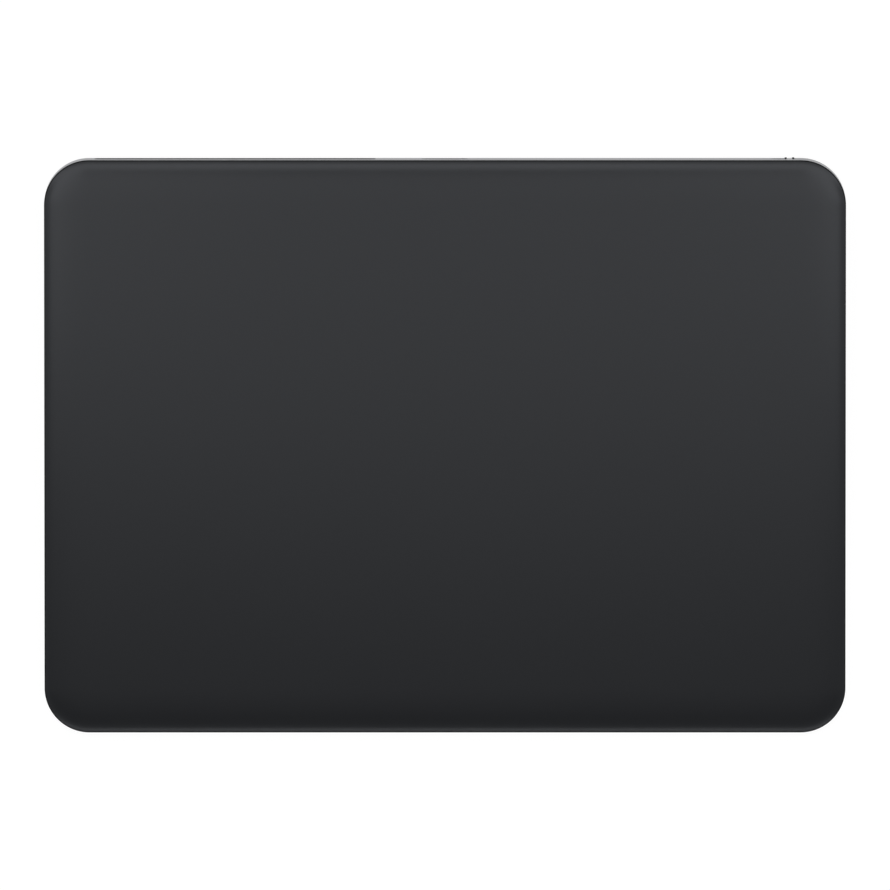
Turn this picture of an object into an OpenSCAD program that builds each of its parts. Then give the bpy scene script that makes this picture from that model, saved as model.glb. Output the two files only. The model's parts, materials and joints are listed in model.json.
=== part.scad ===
// Wireless trackpad: a glass touch plate on four flexure beams, over a wedge-shaped aluminium case.
// The origin is on the desk under the middle of the pad. +X is right, +Y is the rear and +Z is up.

/* [Overall] */
// Width of the pad from side to side
pad_w = 160; // [152:0.5:176]
// Depth of the pad from front to rear
pad_d = 114.9; // [110:0.1:128]
// Height of the touch plane over the desk at the front edge
front_h = 4.9; // [4.7:0.1:6]
// Height of the touch plane over the desk at the rear edge
rear_h = 11.1; // [10.6:0.1:12.5]
// Radius of the four corners seen from above
corner_r = 9; // [7.5:0.1:10]

/* [Touch plate] */
// Thickness of the glass
glass_t = 0.9; // [0.8:0.05:1.1]
// Width of the soft roll along the edge of the glass
roll_w = 2.4; // [1.5:0.1:5]
// Slope of the soft roll where it meets the rim
roll_angle = 8; // [4:0.5:10]
// Radius of the rim of the glass
rim_r = 0.45; // [0.2:0.05:0.5]
// Thickness of the bonding film under the glass
film_t = 0.1; // [0.05:0.05:0.2]
// Thickness of the touch sensor board
sensor_t = 0.5; // [0.3:0.05:0.7]
// Thickness of the steel stiffener
stiffener_t = 0.6; // [0.4:0.05:0.8]
// Gap between the edge of the sensor board and the case wall
plate_gap = 0.6; // [0.4:0.1:1.5]
// Width of each of the two front windows in the stiffener
window_w = 52; // [30:1:56]
// Depth of each of the two front windows in the stiffener
window_d = 24; // [10:1:28]
// How far the touch plate moves when it is pressed
press_travel = 0.2; // [0.1:0.05:0.3]

/* [Case] */
// Thickness of the case wall
wall = 1.5; // [1.3:0.05:1.8]
// Thickness of the case floor
floor_t = 0.9; // [0.8:0.05:1.1]
// Radius of the lower outer edge of the case
bottom_r = 1.3; // [0.5:0.1:1.6]
// Width of the foam seal in the rim
seal_w = 0.7; // [0.5:0.05:0.8]
// Height of the foam seal in the rim
seal_t = 0.4; // [0.3:0.05:0.5]

/* [Feet] */
// Diameter of a foot
foot_dia = 9; // [6:0.5:12]
// How far a foot stands out below the floor
foot_out = 0.5; // [0.4:0.05:0.7]
// How deep a foot sits in the floor
foot_recess = 0.4; // [0.2:0.05:0.5]
// Distance from the side of the pad to the middle of a foot
foot_inset_x = 16; // [12:0.5:24]
// Distance from the front or rear of the pad to the middle of a foot
foot_inset_y = 14; // [12:0.5:20]

/* [Flexures and screws] */
// Length of a flexure beam
flexure_l = 18; // [16:0.5:22]
// Width of a flexure beam at its ends
flexure_w = 7; // [6:0.5:8]
// Thickness of a flexure beam
flexure_t = 0.4; // [0.3:0.05:0.5]
// Width of a flexure beam at its waist
waist_w = 4; // [3:0.5:5]
// Length of a flexure beam's waist
waist_l = 4; // [3:0.5:6]
// Thickness of the spacer pad between a flexure beam and the stiffener
pad_t = 0.4; // [0.35:0.05:0.5]
// Distance from the front or rear of the glass to the middle of a flexure beam
flexure_inset = 13.5; // [13:0.1:16]
// Diameter of a screw's shank
screw_dia = 1.5; // [1.2:0.1:1.6]
// Diameter of a screw's head
screw_head_dia = 3; // [2.4:0.1:3.2]
// Height of a screw's head
screw_head_t = 0.55; // [0.4:0.05:0.6]
// Length of thread that a screw has in its boss
thread_l = 1.1; // [0.9:0.1:1.2]
// Diameter of a screw boss
boss_dia = 4.4; // [4:0.1:5]

/* [Rear wall] */
// Height over the desk of the window, the port and the switch
rear_z = 4.5; // [4.3:0.05:4.8]
// Length of the antenna window
antenna_l = 56; // [40:0.5:58]
// Height of the antenna window
antenna_h = 4; // [3:0.1:4.6]
// Distance from the left side of the pad to the antenna window
antenna_inset = 10.1; // [10:0.1:16]
// Width of the mouth of the charging port
mouth_w = 8.34; // [8:0.02:8.6]
// Height of the mouth of the charging port
mouth_h = 2.56; // [2.4:0.02:2.7]
// Thickness of the sheet that the port shell is drawn from
shell_t = 0.35; // [0.25:0.05:0.4]
// Depth of the port shell
shell_l = 7.3; // [6.8:0.1:7.8]
// Length of the switch slot
slot_l = 4.8; // [4.4:0.1:5.4]
// Height of the switch slot
slot_h = 2.4; // [2.2:0.1:2.8]
// Distance from the right side of the pad to the switch slot
slot_inset = 10; // [10:0.1:12]
// Length of the switch knob
knob_l = 2.2; // [2.1:0.05:2.6]
// How far the switch knob stands out of the rear wall
knob_out = 0.05; // [0.05:0.05:0.4]

/* [Battery] */
// Gap between the battery's own circuit board and the logic board
battery_gap = 3; // [2:0.1:10]
// Depth of the battery from front to rear
battery_d = 33; // [28:0.5:34]
// Thickness of the battery
battery_t = 4; // [3:0.1:4.5]

/* [Logic board] */
// Width of the logic board
board_w = 39; // [38:0.5:40]
// Depth of the logic board
board_d = 44; // [42:0.5:45]
// Thickness of the logic board
board_t = 0.8; // [0.6:0.05:1]

/* [Haptic unit] */
// Length of the haptic housing
haptic_w = 48; // [44:0.5:50]
// Depth of the haptic housing
haptic_d = 18; // [16:0.5:19]
// Length of the moving mass
mass_l = 30; // [26:0.5:32]
// Thickness of the moving mass
mass_t = 1.4; // [1.2:0.05:1.6]

/* [Hidden] */
$fn = 48;
// Slight play round a piece that sits in an opening
fit = 0.1;
// Play between pieces that slide past each other
slide_gap = 0.15;
// Overlap that carries a cut past a face
cut = 1;
// Thickness of a flat cable
cable_t = 0.15;
// Corner directions, turning from the rear right
corners = [[1, 1], [-1, 1], [-1, -1], [1, -1]];

// Touch plane: a plane through the front and rear heights
slope = atan((rear_h - front_h) / pad_d);
mid_h = (front_h + rear_h) / 2;
glass_d = pad_d / cos(slope);

// Depths below the touch plane of each layer of the touch plate
film_top = glass_t;
sensor_top = film_top + film_t;
stiffener_top = sensor_top + sensor_t;
stack_t = stiffener_top + stiffener_t;
flexure_top = stack_t + pad_t;
flexure_under = flexure_top + flexure_t;
rim_clear = 0.05;
rim_gap = press_travel + rim_clear;
rim_top = glass_t + rim_gap;
plate_inset = wall + plate_gap;
plate_w = pad_w - 2 * plate_inset;
plate_d = glass_d - 2 * plate_inset;
plate_r = corner_r - plate_inset;

// Rolled edge of the glass: a wide soft arc, then the small arc of the rim
rim_w = rim_r * (1 - sin(roll_angle));
roll_r = (roll_w - rim_w) / sin(roll_angle);
roll_drop = roll_r * (1 - cos(roll_angle));
rim_z = -roll_drop - rim_r * cos(roll_angle);
edge_lap = 1.5;
edge_ring = roll_w + edge_lap;
edge_steps = 6;

// Case floor and walls
floor_z = foot_out + floor_t;
floor_mid = foot_out + floor_t / 2;
floor_lap = 2;
floor_ring = wall + 2 * floor_lap;
hole_skin = 0.4;
hole_play = 0.1;
rear_y = pad_d / 2;
foot_x = pad_w / 2 - foot_inset_x;
foot_y = rear_y - foot_inset_y;

// Flexure beams, lengthwise along X with the clamped end outside
flexure_gap = 1;
flexure_out_x = pad_w / 2 - wall - flexure_gap;
flexure_in_x = flexure_out_x - flexure_l;
clamp_l = (flexure_l - waist_l) / 2;
clamp_inset = 3;
clamp_x = flexure_out_x - clamp_inset;
waist_x = flexure_out_x - clamp_l - waist_l / 2;
flexure_v = glass_d / 2 - flexure_inset;
pad_side = 5.5;
pad_margin = 0.5;
head_clear = 0.8;
gauge_t = 0.1;
gauge_l = 3.4;
gauge_d = 3;
tail_w = 1.2;

// Screw drive
socket_dia = 1.4;
socket_depth = 0.3;

// Antenna
antenna_x = -pad_w / 2 + antenna_inset + antenna_l / 2;
antenna_corner_r = 1.2;
antenna_lip = 0.8;
antenna_flange_t = 0.5;
antenna_board_t = 0.4;
antenna_board_margin = 4;
antenna_board_lip = 0.2;
antenna_board_h = antenna_h + 2 * antenna_board_lip;
lead_dia = 0.9;
lead_bend = 2;
lead_start_inset = 8;

// Charging port
shell_w = mouth_w + 2 * shell_t;
shell_h = mouth_h + 2 * shell_t;
port_recess = 0.3;
shell_back_t = 0.4;
tongue_w = 6.7;
tongue_t = 0.7;
tongue_l = 5;
contact_count = 12;
contact_pitch = 0.5;
contact_w = 0.28;
contact_l = 3.6;
contact_t = 0.05;
port_board_t = 0.8;
port_board_top = rear_z - shell_h / 2;
port_board_margin = 8;
port_board_w = shell_w + 2 * port_board_margin;
port_board_d = 8.5;
port_board_rear = rear_y - wall - antenna_flange_t - antenna_board_t - slide_gap;
port_ear_l = 5.5;
port_ear = shell_w / 2 + port_ear_l;
bracket_t = 0.4;
bracket_d = 4;
port_screw_gap = 3;
port_screw_inset = 3.5;
port_screw_x = shell_w / 2 + port_screw_gap;
port_screw_y = port_board_rear - port_screw_inset;
port_standoff_top = port_board_top - port_board_t;

// Power switch
slot_x = pad_w / 2 - slot_inset - slot_l / 2;
knob_h = slot_h - 4 * fit;
knob_end_gap = slide_gap;
switch_travel = slot_l - knob_l - 2 * knob_end_gap;
knob_x = switch_travel / 2;
rib_w = 0.34;
rib_out = 0.2;
rib_offset = 0.75;
rib_h = knob_h * 0.72;
marker_t = 0.12;
knob_inner = wall - marker_t - slide_gap;
switch_plate_t = 0.5;
switch_plate_margin = 1;
stem_w = 0.9;
stem_h = 0.8;
slit_l = switch_travel + stem_w + 4 * slide_gap;
slit_h = stem_h + 2 * slide_gap;
carrier_w = 3;
carrier_h = 2.6;
carrier_l = 2.2;
carrier_top = wall + switch_plate_t + slide_gap;
stem_end_gap = 0.2;
stem_end = carrier_top + carrier_l / 2 - stem_end_gap;
toggle_w = 1.2;
toggle_h = 0.8;
toggle_root = 1.6;
toggle_tip = carrier_top + carrier_l / 2 + slide_gap;
can_gap = 0.5;
can_depth = carrier_top + carrier_l + can_gap;
can_w = 6.6;
can_l = 2.8;
can_h = 1.4;

// Logic board, hung from the height of the switch
board_top = rear_z - can_h / 2;
board_z = board_top - board_t;
board_rear = rear_y - can_depth + slide_gap;
board_front = board_rear - board_d;
board_side_gap = 8.5;
board_right = pad_w / 2 - wall - board_side_gap;
board_left = board_right - board_w;
board_tab_d = 5.5;
board_tab_margin = 1;
board_tab_right = slot_x + can_w / 2 + board_tab_margin;
notch_play = 0.4;
notch_d = 3;
board_screws_at = [
    [board_left + 3, board_front + 3],
    [board_right - 3, board_front + 3],
    [board_left + 9, board_rear - 3],
    [board_right - 8, board_rear - 9],
];
connector_t = 0.9;
can_sheet = 0.3;
processor_shield_at = [board_left + 14.5, board_front + 15];
processor_shield_size = [17, 15, 1.5];
radio_shield_at = [board_left + 14, board_rear - 13];
radio_shield_size = [13, 12, 1.3];
antenna_plug_dia = 2.2;
antenna_plug_x = board_left + 4;

// Battery
battery_side_gap = 13;
battery_rear_gap = 11;
battery_left = -pad_w / 2 + wall + battery_side_gap;
cell_board_w = 3.5;
battery_right = board_left - battery_gap - cell_board_w;
battery_w = battery_right - battery_left;
battery_rear = rear_y - wall - battery_rear_gap;
battery_front = battery_rear - battery_d;
battery_y = (battery_front + battery_rear) / 2;
tape_t = 0.15;
tape_margin = 5;
battery_z = floor_z + tape_t;
cell_board_d = 28;
cell_board_t = 1;
cell_board_lift = 0.7;
cell_board_z = battery_z + cell_board_lift;
cell_lead_w = 5;
lead_y = battery_rear + lead_dia / 2 + fit;

// Flat cable from the touch sensor board
flex_w = 9;
flex_inset = 10;
flex_x = board_right - flex_inset;
flex_plug_d = 3;
flex_plug_inset = 5;
flex_plug_y = board_front + flex_plug_inset;
flex_start = flex_plug_y + flex_plug_d / 2;
flex_run = [2.5, 6, 11];
flex_window_play = 1.5;

// Haptic unit
ear_l = 4.5;
ear_w = 5;
ear_t = 0.5;
ear_lift = 1;
ear_z = floor_z + ear_lift;
ear_gap = 0.45;
ear_inset = 6;
ear_x = haptic_w / 2 - ear_inset;
haptic_rear = battery_front - ear_gap - ear_l;
haptic_y = haptic_rear - haptic_d / 2;
haptic_wall = 0.6;
haptic_base_t = 0.4;
coil_t = 0.5;
mass_gap = 0.2;
mass_z = floor_z + haptic_base_t + coil_t + mass_gap;
mass_side_gap = 1.4;
mass_d = haptic_d - 2 * haptic_wall - 2 * mass_side_gap;
cover_z = mass_z + mass_t + mass_gap;
cover_t = 0.3;
magnet_t = 1;
magnet_l = 8;
magnet_d = 11;
magnet_x = 7;
spring_t = 0.25;
spring_margin = 0.1;
spring_foot = 3;

// Flat cable of the gauges
run_w = 3;
run_x = board_right + 0.8;
run_y = flexure_v - 9;
branch_y = flexure_v - 4;
gauge_plug_at = [board_right - 2, board_front + 13];
gauge_plug_size = [2.4, 5, connector_t];

// Height of the touch plane over the desk at a distance y from the middle
function plane_z(y) = mid_h + y * tan(slope);

// Depth below the touch plane, square to it, at which the height is z
function drop_to(v, z) = (mid_h + v * sin(slope) - z) / cos(slope);

// Length of thread in a boss whose top is at top_z
function screw_bite(top_z) = min(thread_l, top_z - foot_out - hole_skin);

// Points on an arc, from step first to step n
function arc(x, y, r, from, to, n, first = 0) =
    [for (i = [first:n]) let (a = from + (to - from) * i / n) [x + r * cos(a), y + r * sin(a)]];

// Places children on the touch plane, with local z square to it
module on_slope() {
    translate([0, 0, mid_h]) rotate([slope, 0, 0]) children();
}

// Places children on the rear wall, with local z running inwards from its outer face
module in_rear_wall(x) {
    translate([x, rear_y, rear_z]) rotate([90, 0, 0]) children();
}

// A flat plate with rounded corners, standing on z = 0
module rounded_plate(w, d, r, t) {
    x = w / 2;
    y = d / 2;
    linear_extrude(t) polygon([
        [-x, r - y], [r - x, r - y], [r - x, -y], [x - r, -y], [x - r, r - y], [x, r - y],
        [x, y - r], [x - r, y - r], [x - r, y], [r - x, y], [r - x, y - r], [-x, y - r]
    ]);
    for (i = [0:3]) {
        translate([corners[i][0] * (x - r), corners[i][1] * (y - r), 0])
            rotate([0, 0, 90 * i]) rotate_extrude(angle = 90) square([r, t]);
    }
}

// A plate with fully round ends, lengthwise along X
module pill(l, h, t) {
    reach = (l - h) / 2;
    translate([-reach, -h / 2, 0]) cube([2 * reach, h, t]);
    for (side = [0, 180]) {
        rotate([0, 0, side]) translate([reach, 0, 0])
            rotate([0, 0, -90]) rotate_extrude(angle = 180) square([h / 2, t]);
    }
}

// Carries a profile round a rounded outline: its x is the distance outwards and its y the height
module around_outline(w, d, r) {
    for (i = [0:3]) {
        translate([corners[i][0] * (w / 2 - r), corners[i][1] * (d / 2 - r), 0])
            rotate([0, 0, 90 * i]) rotate_extrude(angle = 90) translate([r, 0]) children();
    }
    for (turn = [0, 180]) {
        rotate([90, 0, turn]) linear_extrude(d - 2 * r, center = true) translate([w / 2, 0]) children();
        rotate([90, 0, turn + 90]) linear_extrude(w - 2 * r, center = true) translate([d / 2, 0]) children();
    }
}

// A socket-head screw that seats on z = 0 and reaches l below it
module screw(l) {
    difference() {
        union() {
            cylinder(d = screw_head_dia, h = screw_head_t);
            translate([0, 0, -l]) cylinder(d = screw_dia, h = l + screw_head_t / 2);
        }
        translate([0, 0, screw_head_t - socket_depth]) cylinder(d = socket_dia, h = cut, $fn = 6);
    }
}

// A boss on the floor, and the hole in it
module standoff(at, top_z) {
    translate([at[0], at[1], floor_mid]) cylinder(d = boss_dia, h = top_z - floor_mid);
}

module screw_hole(at, top_z) {
    depth = screw_bite(top_z) + hole_play;
    translate([at[0], at[1], top_z - depth]) cylinder(d = screw_dia + fit, h = depth + cut);
}

// A box between two corners
module box(low, high) {
    translate(low) cube(high - low);
}

// A flat cable that runs along X, steps up at step_x and runs on
module stepped_cable(from_x, to_x, step_x, low_z, high_z, y, w) {
    box([from_x, y - w / 2, low_z], [step_x, y + w / 2, low_z + cable_t]);
    box([step_x - cable_t, y - w / 2, low_z], [step_x, y + w / 2, high_z + cable_t]);
    box([step_x - cable_t, y - w / 2, high_z], [to_x, y + w / 2, high_z + cable_t]);
}

// Touch plate

module touch_glass() {
    profile = concat(
        [[-edge_ring, -glass_t], [0, -glass_t]],
        arc(-rim_r, rim_z, rim_r, 0, 90 - roll_angle, edge_steps),
        arc(-roll_w, -roll_r, roll_r, 90 - roll_angle, 90, edge_steps, 1),
        [[-edge_ring, 0]]
    );
    core_inset = roll_w + edge_lap / 2;
    color("#26272a") on_slope() {
        around_outline(pad_w, glass_d, corner_r) polygon(profile);
        translate([0, 0, -glass_t])
            rounded_plate(pad_w - 2 * core_inset, glass_d - 2 * core_inset, corner_r - core_inset, glass_t);
    }
}

module glass_adhesive() {
    color("#15161a") on_slope() translate([0, 0, -sensor_top])
        rounded_plate(plate_w, plate_d, plate_r, film_t);
}

module touch_sensor_board() {
    color("#1d4a36") on_slope() translate([0, 0, -stiffener_top])
        rounded_plate(plate_w, plate_d, plate_r, sensor_t);
}

// Touch controller and its two helpers: place, side and thickness
touch_chip_list = [[-28, 27, 9, 0.8], [-16, 30, 5, 0.7], [-16, 23, 5, 0.7]];

module touch_chips() {
    color("#222428") on_slope() for (chip = touch_chip_list) {
        translate([chip[0], chip[1], -stiffener_top - chip[3]])
            translate([-chip[2] / 2, -chip[2] / 2, 0]) cube([chip[2], chip[2], chip[3]]);
    }
}

// Windows in the stiffener: middle, size
chip_window = [-23, 26.5, 26, 16];
flex_window = [
    flex_x,
    flex_start + (flex_run[0] + flex_run[2]) / 2,
    flex_w + 2 * flex_window_play,
    flex_run[2] - flex_run[0] + 2 * flex_window_play
];
front_window_at = [plate_w / 4, -plate_d / 4];

module stiffener_plate() {
    windows = [
        chip_window, flex_window,
        [front_window_at[0], front_window_at[1], window_w, window_d],
        [-front_window_at[0], front_window_at[1], window_w, window_d]
    ];
    window_r = 2;
    color("#a7abb0") on_slope() difference() {
        translate([0, 0, -stack_t]) rounded_plate(plate_w, plate_d, plate_r, stiffener_t);
        for (window = windows) {
            translate([window[0], window[1], -stack_t - cut])
                rounded_plate(window[2], window[3], window_r, stiffener_t + 2 * cut);
        }
        for (corner = corners) {
            translate([corner[0] * clamp_x, corner[1] * flexure_v, -stack_t - cut])
                cylinder(d = screw_head_dia + 2 * head_clear, h = stiffener_t + 2 * cut);
        }
    }
}

module flexure_pads() {
    pad_x = flexure_in_x + pad_margin + pad_side / 2;
    color("#8b9096") on_slope() for (corner = corners) {
        translate([corner[0] * pad_x, corner[1] * flexure_v, -flexure_top])
            translate([-pad_side / 2, -pad_side / 2, 0]) cube([pad_side, pad_side, pad_t]);
    }
}

// Case

module flexure_bosses() {
    for (corner = corners) {
        v = corner[1] * flexure_v;
        reach = drop_to(v, floor_mid) - flexure_under;
        on_slope() translate([corner[0] * clamp_x, v, -flexure_under - reach])
            cylinder(d = boss_dia, h = reach);
    }
}

module flexure_holes() {
    for (corner = corners) {
        v = corner[1] * flexure_v;
        on_slope() translate([corner[0] * clamp_x, v, -flexure_under - flexure_bite(v) - hole_play])
            cylinder(d = screw_dia + fit, h = flexure_bite(v) + hole_play + cut);
    }
}

// Length of thread in a flexure boss
function flexure_bite(v) = min(thread_l, drop_to(v, foot_out + hole_skin) - flexure_under);

haptic_ears_at = [
    [ear_x, haptic_rear + ear_l / 2], [-ear_x, haptic_rear + ear_l / 2],
    [-ear_x, haptic_rear - haptic_d - ear_l / 2], [ear_x, haptic_rear - haptic_d - ear_l / 2]
];
port_screws_at = [[-port_screw_x, port_screw_y], [port_screw_x, port_screw_y]];

module seal_groove() {
    on_slope() around_outline(pad_w, glass_d, corner_r)
        translate([-wall - cut / 2, -rim_top - seal_t]) square([cut / 2 + seal_w + fit / 2, seal_t + cut]);
}

module lower_case() {
    profile = concat(
        [[-floor_ring, foot_out]],
        arc(-bottom_r, foot_out + bottom_r, bottom_r, -90, 0, edge_steps),
        [[0, rear_h], [-wall, rear_h], [-wall, floor_z], [-floor_ring, floor_z]]
    );
    core_inset = wall + floor_lap;
    core_w = pad_w - 2 * core_inset;
    core_d = pad_d - 2 * core_inset;
    color("#c9cacd") difference() {
        union() {
            difference() {
                union() {
                    around_outline(pad_w, pad_d, corner_r) polygon(profile);
                    translate([0, 0, foot_out])
                        rounded_plate(core_w, core_d, corner_r - core_inset, floor_t);
                }
                on_slope() translate([-pad_w, -pad_d, -rim_top]) cube([2 * pad_w, 2 * pad_d, rear_h]);
            }
            flexure_bosses();
            for (at = board_screws_at) standoff(at, board_z);
            for (at = port_screws_at) standoff(at, port_standoff_top);
            for (at = haptic_ears_at) standoff(at, ear_z);
        }
        seal_groove();
        flexure_holes();
        for (at = board_screws_at) screw_hole(at, board_z);
        for (at = port_screws_at) screw_hole(at, port_standoff_top);
        for (at = haptic_ears_at) screw_hole(at, ear_z);
        for (corner = corners) {
            translate([corner[0] * foot_x, corner[1] * foot_y, foot_out - cut])
                cylinder(d = foot_dia + 2 * fit, h = cut + foot_recess);
        }
        in_rear_wall(antenna_x) translate([0, 0, -cut])
            rounded_plate(antenna_l, antenna_h, antenna_corner_r, wall + 2 * cut);
        in_rear_wall(0) translate([0, 0, -cut]) pill(shell_w + 2 * fit, shell_h + 2 * fit, wall + 2 * cut);
        in_rear_wall(slot_x) translate([0, 0, -cut]) pill(slot_l, slot_h, wall + 2 * cut);
    }
}

module dust_seal() {
    color("#131416") on_slope() around_outline(pad_w, glass_d, corner_r)
        translate([-wall, -rim_top - seal_t]) square([seal_w, seal_t]);
}

module foot(side, end) {
    height = foot_out + foot_recess;
    edge = 0.25;
    color("#2b2c2e") translate([side * foot_x, end * foot_y, 0])
        rotate_extrude() polygon([
            [0, 0], [foot_dia / 2 - edge, 0], [foot_dia / 2, edge], [foot_dia / 2, height], [0, height]
        ]);
}

module flexure(side, end) {
    half = flexure_w / 2;
    neck = waist_w / 2;
    neck_out = flexure_out_x - clamp_l;
    neck_in = neck_out - waist_l;
    blend = half - neck;
    outline = [
        [flexure_in_x, -half], [neck_in - blend, -half], [neck_in, -neck], [neck_out, -neck],
        [neck_out + blend, -half], [flexure_out_x, -half], [flexure_out_x, half], [neck_out + blend, half],
        [neck_out, neck], [neck_in, neck], [neck_in - blend, half], [flexure_in_x, half]
    ];
    color("#b9bdc2") on_slope() translate([0, end * flexure_v, -flexure_under])
        rotate([0, 0, side > 0 ? 0 : 180]) difference() {
            linear_extrude(flexure_t) polygon(outline);
            translate([clamp_x, 0, -cut]) cylinder(d = screw_dia + 2 * fit, h = flexure_t + 2 * cut);
        }
}

module strain_gauges() {
    color("#c58b3a") on_slope() for (corner = corners) {
        v = corner[1] * flexure_v;
        edge = waist_w / 2 + fit;
        low = drop_to(v - corner[1] * edge, floor_z + cable_t + fit);
        translate([corner[0] * waist_x, v, 0]) mirror([0, corner[1] > 0 ? 1 : 0, 0]) {
            box([-gauge_l / 2, -gauge_d / 2, -flexure_top], [gauge_l / 2, gauge_d / 2, gauge_t - flexure_top]);
            box([-tail_w / 2, 0, -flexure_top], [tail_w / 2, edge + gauge_t, gauge_t - flexure_top]);
            box([-tail_w / 2, edge, -low], [tail_w / 2, edge + gauge_t, gauge_t - flexure_top]);
        }
    }
}

module flexure_screws() {
    color("#8f9398") on_slope() for (corner = corners) {
        v = corner[1] * flexure_v;
        translate([corner[0] * clamp_x, v, -flexure_top]) screw(flexure_t + flexure_bite(v));
    }
}

module gauge_flex() {
    top = floor_z + cable_t;
    plug_y = gauge_plug_at[1];
    plug_right = gauge_plug_at[0] + gauge_plug_size[0] / 2;
    half = gauge_plug_size[1] / 2 - fit;
    riser = board_right + 2 * fit;
    high = board_top + 2 * cable_t;
    color("#b5722c") {
        box([-run_x - run_w, -run_y - run_w, floor_z], [run_x + run_w, -run_y, top]);
        for (side = [-1, 1]) mirror([side > 0 ? 0 : 1, 0, 0]) {
            box([run_x, -run_y - run_w, floor_z], [run_x + run_w, run_y, top]);
            box([waist_x - tail_w, run_y - run_w, floor_z], [run_x + run_w, run_y, top]);
            box([waist_x - tail_w, run_y - run_w, floor_z], [waist_x + tail_w, branch_y + run_w, top]);
            box([waist_x - tail_w, -branch_y - run_w, floor_z], [waist_x + tail_w, -run_y, top]);
        }
        box([riser, plug_y - half, floor_z], [run_x, plug_y + half, top]);
        box([riser, plug_y - half, floor_z], [riser + cable_t, plug_y + half, high + cable_t]);
        box([plug_right, plug_y - half, high], [riser, plug_y + half, high + cable_t]);
    }
}

// Antenna

module antenna_window() {
    flange_l = antenna_l + 2 * antenna_lip;
    flange_h = antenna_h + 2 * antenna_lip;
    color("#6f7175") in_rear_wall(antenna_x) {
        rounded_plate(antenna_l - fit, antenna_h - fit, antenna_corner_r - fit / 2, wall);
        translate([0, 0, wall])
            rounded_plate(flange_l, flange_h, antenna_corner_r, antenna_flange_t);
    }
}

module antenna_board() {
    color("#2f5d45") in_rear_wall(antenna_x) translate([0, 0, wall + antenna_flange_t])
        rounded_plate(antenna_l - 2 * antenna_board_margin, antenna_board_h, 0.5, antenna_board_t);
}

module antenna_lead() {
    start_x = antenna_x + antenna_l / 2 - lead_start_inset;
    start_y = rear_y - wall - antenna_flange_t - antenna_board_t;
    turn_y = lead_y + lead_bend;
    turn_x = start_x + lead_bend;
    end_x = antenna_plug_x - antenna_plug_dia / 2;
    color("#3a3b3e") translate([0, 0, board_top + antenna_plug_dia / 4]) {
        translate([start_x, start_y, 0]) rotate([90, 0, 0]) cylinder(d = lead_dia, h = start_y - turn_y);
        translate([turn_x, turn_y, 0]) rotate([0, 0, 180])
            rotate_extrude(angle = 90) translate([lead_bend, 0]) circle(d = lead_dia);
        translate([turn_x, lead_y, 0]) rotate([0, 90, 0]) cylinder(d = lead_dia, h = end_x - turn_x);
    }
}

// Charging port

module port_shell() {
    color("#b4b7bb") in_rear_wall(0) translate([0, 0, port_recess]) difference() {
        pill(shell_w, shell_h, shell_l);
        translate([0, 0, -cut]) pill(mouth_w, mouth_h, shell_l - shell_back_t + cut);
    }
}

module port_tongue() {
    nose = 0.2;
    color("#1b1c1f") in_rear_wall(0) translate([0, 0, port_recess + shell_l - shell_back_t])
        rotate([0, 90, 0]) translate([0, 0, -tongue_w / 2]) linear_extrude(tongue_w) polygon([
            [0, -tongue_t / 2], [tongue_l - nose, -tongue_t / 2], [tongue_l, nose - tongue_t / 2],
            [tongue_l, tongue_t / 2 - nose], [tongue_l - nose, tongue_t / 2], [0, tongue_t / 2]
        ]);
}

module port_contacts() {
    front = port_recess + shell_l - shell_back_t - tongue_l + 0.6;
    color("#d2a543") in_rear_wall(0) for (i = [0:contact_count - 1], face = [-1, 1]) {
        x = (i - (contact_count - 1) / 2) * contact_pitch;
        y = face > 0 ? tongue_t / 2 : -tongue_t / 2 - contact_t;
        translate([x - contact_w / 2, y, front]) cube([contact_w, contact_t, contact_l]);
    }
}

module port_board() {
    color("#1d4a36") difference() {
        box(
            [-port_board_w / 2, port_board_rear - port_board_d, port_standoff_top],
            [port_board_w / 2, port_board_rear, port_board_top]
        );
        for (at = port_screws_at) {
            translate([at[0], at[1], port_standoff_top - cut])
                cylinder(d = screw_dia + 2 * fit, h = port_board_t + 2 * cut);
        }
    }
}

module port_bracket() {
    inner = shell_w / 2 + fit;
    outer = inner + bracket_t;
    low = port_board_top;
    high = rear_z + shell_h / 2;
    outline = [
        [-port_ear, low], [-inner, low], [-inner, high], [inner, high], [inner, low], [port_ear, low],
        [port_ear, low + bracket_t], [outer, low + bracket_t], [outer, high + bracket_t],
        [-outer, high + bracket_t], [-outer, low + bracket_t], [-port_ear, low + bracket_t]
    ];
    color("#a2a6ab") difference() {
        translate([0, port_screw_y + bracket_d / 2, 0]) rotate([90, 0, 0])
            linear_extrude(bracket_d) polygon(outline);
        for (at = port_screws_at) {
            translate([at[0], at[1], low - cut]) cylinder(d = screw_dia + 2 * fit, h = bracket_t + 2 * cut);
        }
    }
}

module port_screws() {
    color("#8f9398") for (at = port_screws_at) {
        translate([at[0], at[1], port_board_top + bracket_t])
            screw(bracket_t + port_board_t + screw_bite(port_standoff_top));
    }
}

// Plugs on the logic board: left edge or middle, and size
side_plug_size = [3, 3, connector_t];
port_plug_at = [board_left + 3.2, board_rear - 4.3];
cell_plug_at = [board_left + 3.2, battery_y];
cell_plug_size = [3, 6, connector_t];
haptic_plug_at = [board_left + 9.5, board_front + 3];
haptic_plug_size = [3.6, 2.4, connector_t];
flex_plug_size = [flex_w + 1, flex_plug_d, connector_t];
plug_lift = 2 * cable_t;

module port_lead() {
    color("#b5722c") stepped_cable(
        port_ear + fit, port_plug_at[0] - side_plug_size[0] / 2, board_left - cable_t,
        port_board_top, board_top + plug_lift, port_plug_at[1], side_plug_size[1] - 2 * fit
    );
}

// Power switch

module switch_slit(depth) {
    pill(slit_l, slit_h, depth);
}

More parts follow.
